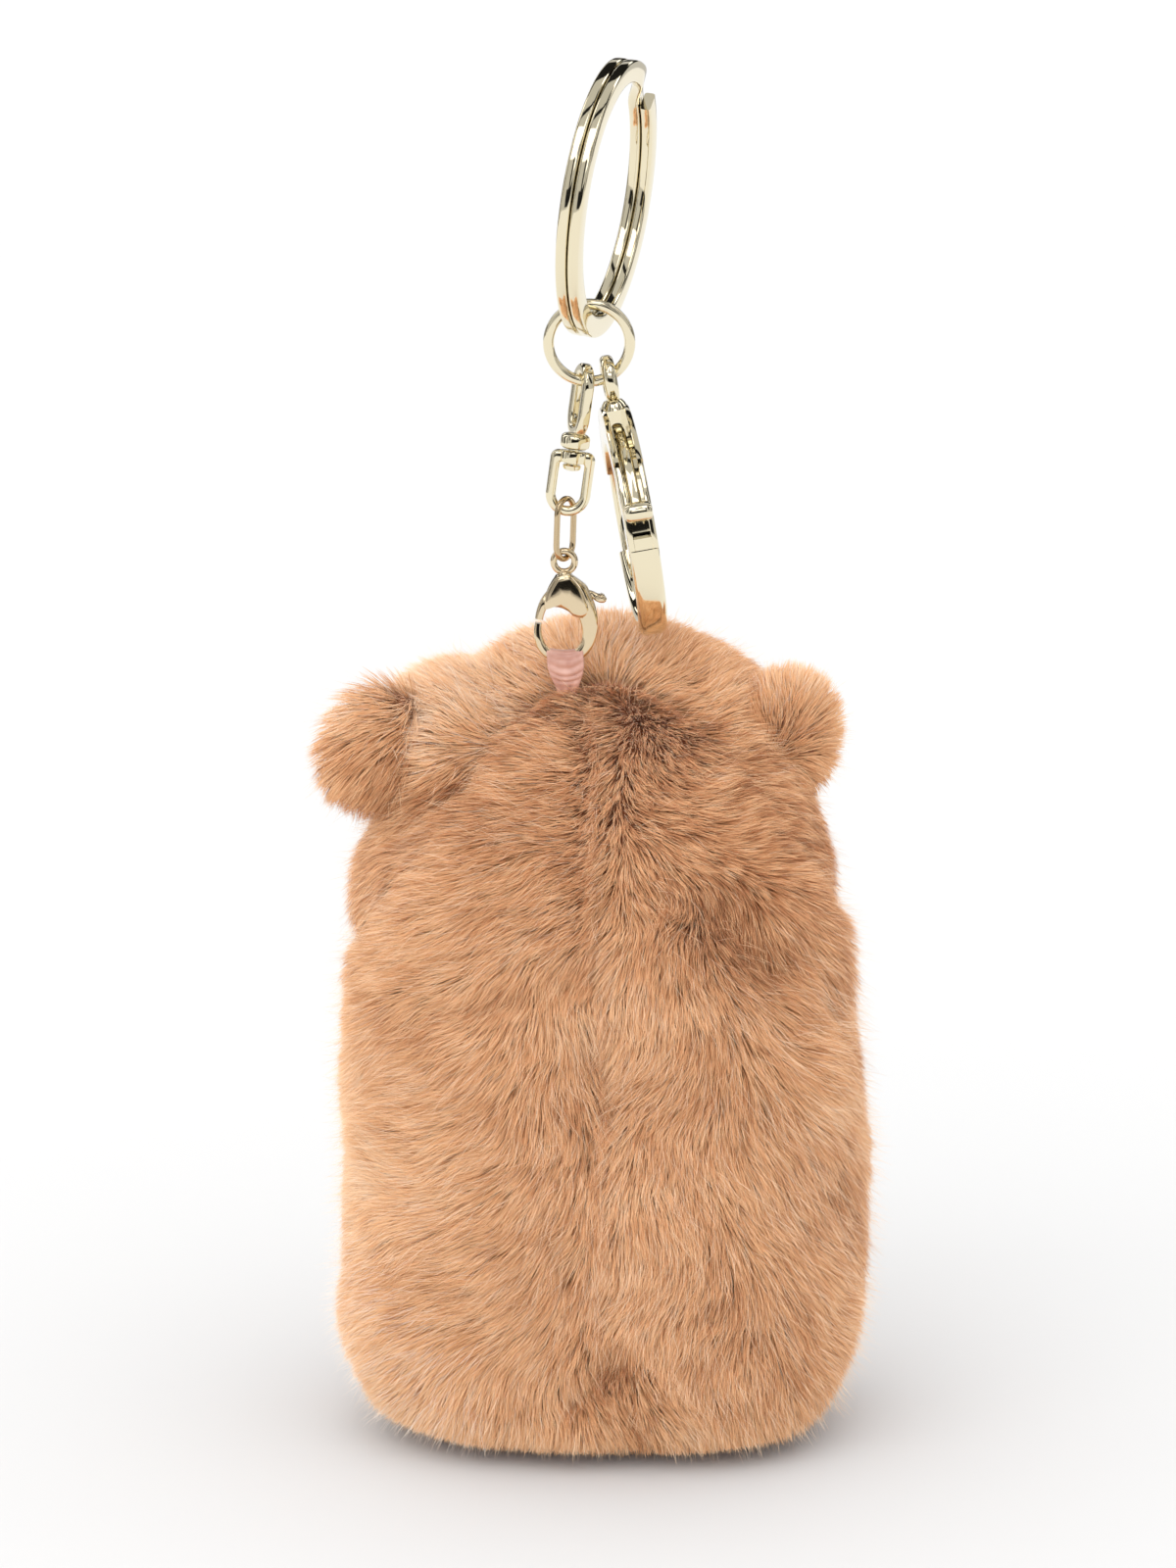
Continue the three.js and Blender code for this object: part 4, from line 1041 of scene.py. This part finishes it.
def coat_tone_and_painted_light(points):
    """The place in TINTS of the pile: paler on the crown, whose cloth is paler. Painted light on the crown's
    left and on the lower left of the back, painted shade on the upper right and in the creases.
    """
    x, y, z = points.T
    left = smooth_step(x, -8, 12)
    # The crown's cloth is paler. Its left half is painted paler still, as painted light from the key light,
    # and the paleness fades towards the front.
    crown = smooth_step(above_seam(points), -0.5, 0.5) * smooth_step(z, 71, 80) * (0.5 + 1.3 * left)
    crown *= 1 - 0.6 * smooth_step(-y, 6, 16)
    # Painted shade: the upper right of the back is darker, broken into flecks.
    upper_right_painted_shade = np.exp(-((x + 14) / 10) ** 2 - ((z - 70) / 10) ** 2)
    # Painted light: the lower left of the back is paler, as if lit from the left.
    lower_left_painted_light = left * smooth_step(-z, -52, -34)
    back = 0.7 * lower_left_painted_light - upper_right_painted_shade * (0.9 - 0.7 * flecks(points))
    # The pile is painted darker along the creases, as painted shade in them, such as the shadow under the
    # left ear.
    return 2.3 + crown + (y > 0) * back - 0.9 * crease_depths(points)


def ear_tone(points):
    """Paler towards an ear's top."""
    return 1.9 + 1.6 * smooth_step(points[:, 2], 77, 82)


def pale_tone(points):
    return np.full(len(points), 4.4)


DENSITY = {  # strands on each mm2
    "back_panel_left": 24, "back_panel_right": 24, "crown_panel": 23, "face_panel": 18, "belly_panel": 17,
}
for name, density in DENSITY.items():
    surface = (skin, skin_normals, skin_faces[panel_of == name])
    slot = "pale_fur" if name == "crown_panel" else "fur"
    fur(name + "_pile", slot, surface, body_comb, density, coat_tone_and_painted_light)


# ------------------------------------------------------------------ ears, muzzle, arms and feet
def pad(half, centre, tilt=(0, 0, 0), level=4, wobble=0.25):
    """A stuffed pad: a rounded form with a few soft dents."""
    sphere, faces = unit_sphere(level)
    turned = np.array(Euler([math.radians(a) for a in tilt]).to_matrix())
    points = (sphere * np.array(half, float)) @ turned.T + np.array(centre, float)
    normals = vertex_normals(points, faces)
    points = points + normals * (wobble * dimples(points))[:, None]
    return points, vertex_normals(points, faces), faces


def keep_outside(surface, depth):
    """The faces of a pad that are not buried in the body."""
    points, normals, faces = surface
    tree = tree_of(skin)
    centres = points[faces].mean(1)
    inside = []
    for c in centres:
        _, i, _ = tree.find(c)
        inside.append(float(np.dot(c - skin[i], skin_normals[i])) < -depth)
    return points, normals, faces[~np.array(inside)]


def radial_comb(centre, axis, lift, length, droop=0.0):
    """Strands that lie away from the middle of the pad, as seen along axis."""
    centre, axis = np.array(centre, float), np.array(axis, float)
    axis /= np.linalg.norm(axis)

    def comb(points, normals):
        out = points - centre
        out = unit_rows(out - (out @ axis)[:, None] * axis) + 0.15 * normals
        out[:, 2] -= droop
        n = len(points)
        return out, np.full(n, lift + 20.0), np.full(n, float(lift)), np.full(n, float(length))

    return comb


def furry_pad(name, slot, surface, comb, density, nodes, look, tone, fill=0.6, **options):
    used, faces = np.unique(surface[2], return_inverse=True)
    cloth = make(name + "_cloth", to_row(surface[0][used]), faces.reshape(-1, 3).tolist(), look)
    fit(cloth, "plush", slot, *nodes)
    fur(name + "_pile", slot, surface, comb, density, tone, **options)


def ear(side, whorl, lift, length):
    """An ear whose pile was stroked away from the place whorl on the head."""
    centre, angle = EARS[side]
    surface = keep_outside(pad((5.6, 2.9, 5.6), centre, (0, 0, angle), wobble=0.3), 0.8)
    axis = (-math.sin(math.radians(angle)), math.cos(math.radians(angle)), 0)
    comb = radial_comb(whorl, axis, lift, length, 0.25)
    nodes = (f"ear_{side}_back", f"ear_{side}_front")
    furry_pad(f"ear_{side}", "fur", surface, comb, 22, nodes, UNDER_FUR, ear_tone, tuft=0.7)


ear("left", (9, 1, 90), 24, 4.4)
ear("right", (-14, 0, 76), 34, 3.2)
MUZZLE = (0, -19.5, 57.5)
muzzle = keep_outside(pad((10.9, 8, 8), MUZZLE, wobble=0.15), 0.5)
furry_pad("muzzle", "pale_fur", muzzle, radial_comb((0, -19.5, 60), (0, 1, 0), 22, 2.2, 0.2), 20, ("muzzle",),
          UNDER_PALE, pale_tone, width=0.1)
for side, sign in (("left", 1), ("right", -1)):
    arm = keep_outside(pad((3.6, 3.8, 7.6), (sign * 19.5, -14.5, 37), (0, -22 * sign, 0), 4, 0.1), 0.5)
    furry_pad(f"arm_{side}", "fur", arm, radial_comb((sign * 17.5, -14, 46), (0, 1, 0), 22, 3.2), 17,
              (f"arm_{side}",), UNDER_FUR, coat_tone_and_painted_light)
    foot = keep_outside(pad((5.6, 5.6, 3.9), (sign * 12.5, -19, 4.6), level=4, wobble=0.1), 0.5)
    furry_pad(f"foot_{side}", "pale_fur", foot, radial_comb((sign * 12.5, -14, 8), (0, 0.4, 1), 18, 2.6), 18,
              (f"foot_{side}",), UNDER_PALE, pale_tone, width=0.1)


# ------------------------------------------------------------------ eyes and nose
def gloss_look(name, colour, rough):
    look = Look(name, Base_Color=colour, Roughness=rough, Coat_Weight=0.6, Coat_Roughness=0.03)
    look.span(look.noise(500, 3, 0.5), rough * 0.6, rough * 1.6, "Roughness")
    look.bump(look.noise(900, 3, 0.5), 0.12, 0.00002)
    return look.material


BLACK = gloss_look("black_plastic", linear(24, 18, 15), 0.09)
for side in ("left", "right"):
    low, high = (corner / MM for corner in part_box(f"eye_{side}"))
    centre = Vector(((low.x + high.x) / 2, low.y, (low.z + high.z) / 2))
    profile = [
        (0, 0), (0.7, -0.1), (1.3, -0.36), (1.8, -0.78), (2.12, -1.2), (2.3, -1.55), (2.26, -1.75),
        (2.1, -1.9), (0.9, -1.95), (0.9, -7.6), (0, -7.7),
    ]
    eye = lathe(f"eye_{side}_button", profile, BLACK, Matrix.Translation(centre) @ turn("X", 90))
    fit(eye, "plush", "black_plastic", f"eye_{side}")

low, high = (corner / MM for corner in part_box("nose"))
points, normals, faces = pad((3.3, 1.9, 2.3), (0, 0, 0), wobble=0)
points[:, 0] *= 1 + 0.16 * points[:, 2] / 2.3  # wider above, like a rounded triangle
points += np.array([(low.x + high.x) / 2, (low.y + high.y) / 2 + 0.3, (low.z + high.z) / 2])
nose = make("nose_button", points, faces.tolist(), BLACK)
fit(nose, "plush", "black_plastic", "nose")


# ------------------------------------------------------------------ ribbon
def satin_look():
    look = Look("pink_satin", Roughness=0.3, Sheen_Weight=0.2, Sheen_Roughness=0.3, Anisotropic=0.5)
    weave = look.noise(5200, 2, 0.5, (0.08, 1, 1))
    stops = [(0.3, linear(178, 124, 108)), (0.7, linear(222, 176, 160))]
    look.colour(look.ramp(look.noise(300, 3, 0.6), stops))
    look.bump(weave, 0.35, 0.00005)
    return look.material


def ribbon():
    """A satin loop that bunches in level folds over the claw's wire and narrows into the seam."""
    pivot = joint("plush_swing")
    rows, columns = 120, 25
    over, radius, drop = 0.25, 0.98, 4.4  # the share that lies over the wire, its radius there, and its fall
    half_wide, narrows, folds = 2.0, 1.0, 6
    verts = []
    for i in range(rows + 1):
        t = 2 * i / rows - 1  # -1 at the front's lower end, 0 over the wire, 1 at the back's lower end
        down = abs(t)
        if down < over:
            y, z = polar(radius, 90 - 90 * t / over)
        else:
            k = (down - over) / (1 - over)
            y, z = math.copysign(radius - 0.8 * k ** 1.5, t), -drop * k
        narrow = float(smooth_step(np.array([down]), 0.35, 1)[0])
        for j in range(columns):
            s = 2 * j / (columns - 1) - 1
            bow = (1 - s * s) * (0.9 * bell(down, 0.35, 0.3))
            fold = 0.13 * math.sin(2 * math.pi * folds * down) * (1 - narrow) * math.sqrt(1.02 - s * s)
            crease = 0.12 * math.sin(8 * s + 1.2) * narrow
            x = (half_wide - narrows * narrow) * s - 0.35 * down
            out = math.copysign(fold + crease + 0.22, t)
            verts.append((pivot.x + x, pivot.y + y + out, pivot.z + z - bow))
    faces = [
        (i * columns + j, i * columns + j + 1, (i + 1) * columns + j + 1, (i + 1) * columns + j)
        for i in range(rows)
        for j in range(columns - 1)
    ]
    made = make("ribbon_strap", verts, faces, satin_look())
    thick = made.modifiers.new("thick", "SOLIDIFY")
    thick.thickness = 0.16 * MM
    thick.offset = 0
    return made


fit(ribbon(), "plush", "satin", "ribbon_loop")


# ------------------------------------------------------------------ studio
FAR, ROOM, FLOOR = 900, 1500, 9000  # how far the cards, the dome and the floor's edges are, in mm
# Azimuth, elevation, half the width and half the height of each card, in degrees.
DARK_CARDS = [
    (180, 3, 30, 8), (0, 46, 55, 17), (0, 15, 50, 5), (90, 18, 9, 34), (270, 22, 10, 36), (133, 32, 4, 26),
    (226, 38, 5, 24), (180, 80, 40, 3), (48, 12, 7, 26), (315, 12, 7, 26), (112, 10, 3, 40),
    (248, 8, 3, 40), (160, 22, 2.5, 20), (203, 20, 3, 18), (70, 10, 3, 30), (292, 4, 4, 30),
]
BRIGHT_CARDS = [
    (155, 48, 14, 14), (205, 54, 12, 12), (25, 24, 14, 3), (300, 30, 6, 22), (60, 34, 6, 24),
    (183, 28, 12, 5), (100, 20, 3, 30), (258, 25, 3, 26), (340, 26, 5, 4),
]


def sheet(name, x, y, look, place):
    """A flat rectangle, 2x by 2y mm."""
    return make(name, [(-x, -y, 0), (x, -y, 0), (x, y, 0), (-x, y, 0)], [(0, 1, 2, 3)], look, place)


def only_reflected(made):
    """Leaves a piece of the studio to be seen by the gloss alone."""
    for ray in ("camera", "diffuse", "transmission", "volume_scatter", "shadow"):
        setattr(made, "visible_" + ray, False)


def glow(name, strength):
    return Look(name, Base_Color=(0, 0, 0, 1), Roughness=1, Specular_IOR_Level=0,
                Emission_Color=(1, 1, 1, 1), Emission_Strength=strength).material


def cards(name, look, table):
    for number, (azimuth, elevation, half_wide, half_high) in enumerate(table, 1):
        x, y = (FAR * math.tan(math.radians(half)) for half in (half_wide, half_high))
        place = turn("Z", azimuth) @ turn("X", 90 - elevation) @ along_z(FAR)
        only_reflected(sheet(f"{name}_{number}", x, y, look, place))


def sun(name, way, spread_angle, strength):
    light = bpy.data.lights.new(name, "SUN")
    light.angle = math.radians(spread_angle)
    light.energy = strength
    in_scene(name, light).rotation_euler = Vector(way).to_track_quat("-Z", "Y").to_euler()


def studio():
    """A pale floor in white surroundings, soft light, and cards for the metal to reflect."""
    pale = Look("floor", Base_Color=(0.72, 0.72, 0.72, 1), Roughness=0.95, Specular_IOR_Level=0.1)
    below = along_z(float(ANIMAL[2]) - 0.05)
    sheet("floor", FLOOR, FLOOR, pale.material, below)
    dark, bright, room = glow("dark_card", 0.012), glow("bright_card", 2.0), glow("room", 0.6)
    cards("dark_card", dark, DARK_CARDS)
    cards("bright_card", bright, BRIGHT_CARDS)
    dome, dome_faces = unit_sphere(3)
    only_reflected(make("room", dome * ROOM, dome_faces.tolist(), room))

    world = bpy.data.worlds.new("studio")
    world.use_nodes = True
    surroundings = world.node_tree.nodes["Background"].inputs
    surroundings["Color"].default_value = (1, 1, 1, 1)
    surroundings["Strength"].default_value = 1.0
    bpy.context.scene.world = world

    sun("overhead", (-0.1, -0.15, -1), 100, 1.0)
    sun("key", (-0.6, -1, -0.6), 60, 0.7)


def camera():
    aim = Vector((3.8, 0, -76.8)) * MM
    elevation, view_height, lens, sensor = math.radians(12), 172.8 * MM, 110, 36
    away = view_height * lens / sensor
    data = bpy.data.cameras.new("photo_view")
    data.lens = lens
    data.sensor_width = sensor
    data.clip_start = 0.01
    data.clip_end = 100
    made = in_scene("photo_view", data)
    made.location = aim + away * Vector((0, math.cos(elevation), math.sin(elevation)))
    made.rotation_euler = (aim - made.location).to_track_quat("-Z", "Y").to_euler()
    bpy.context.scene.camera = made


studio()
camera()
bpy.context.scene.view_settings.view_transform = "Standard"
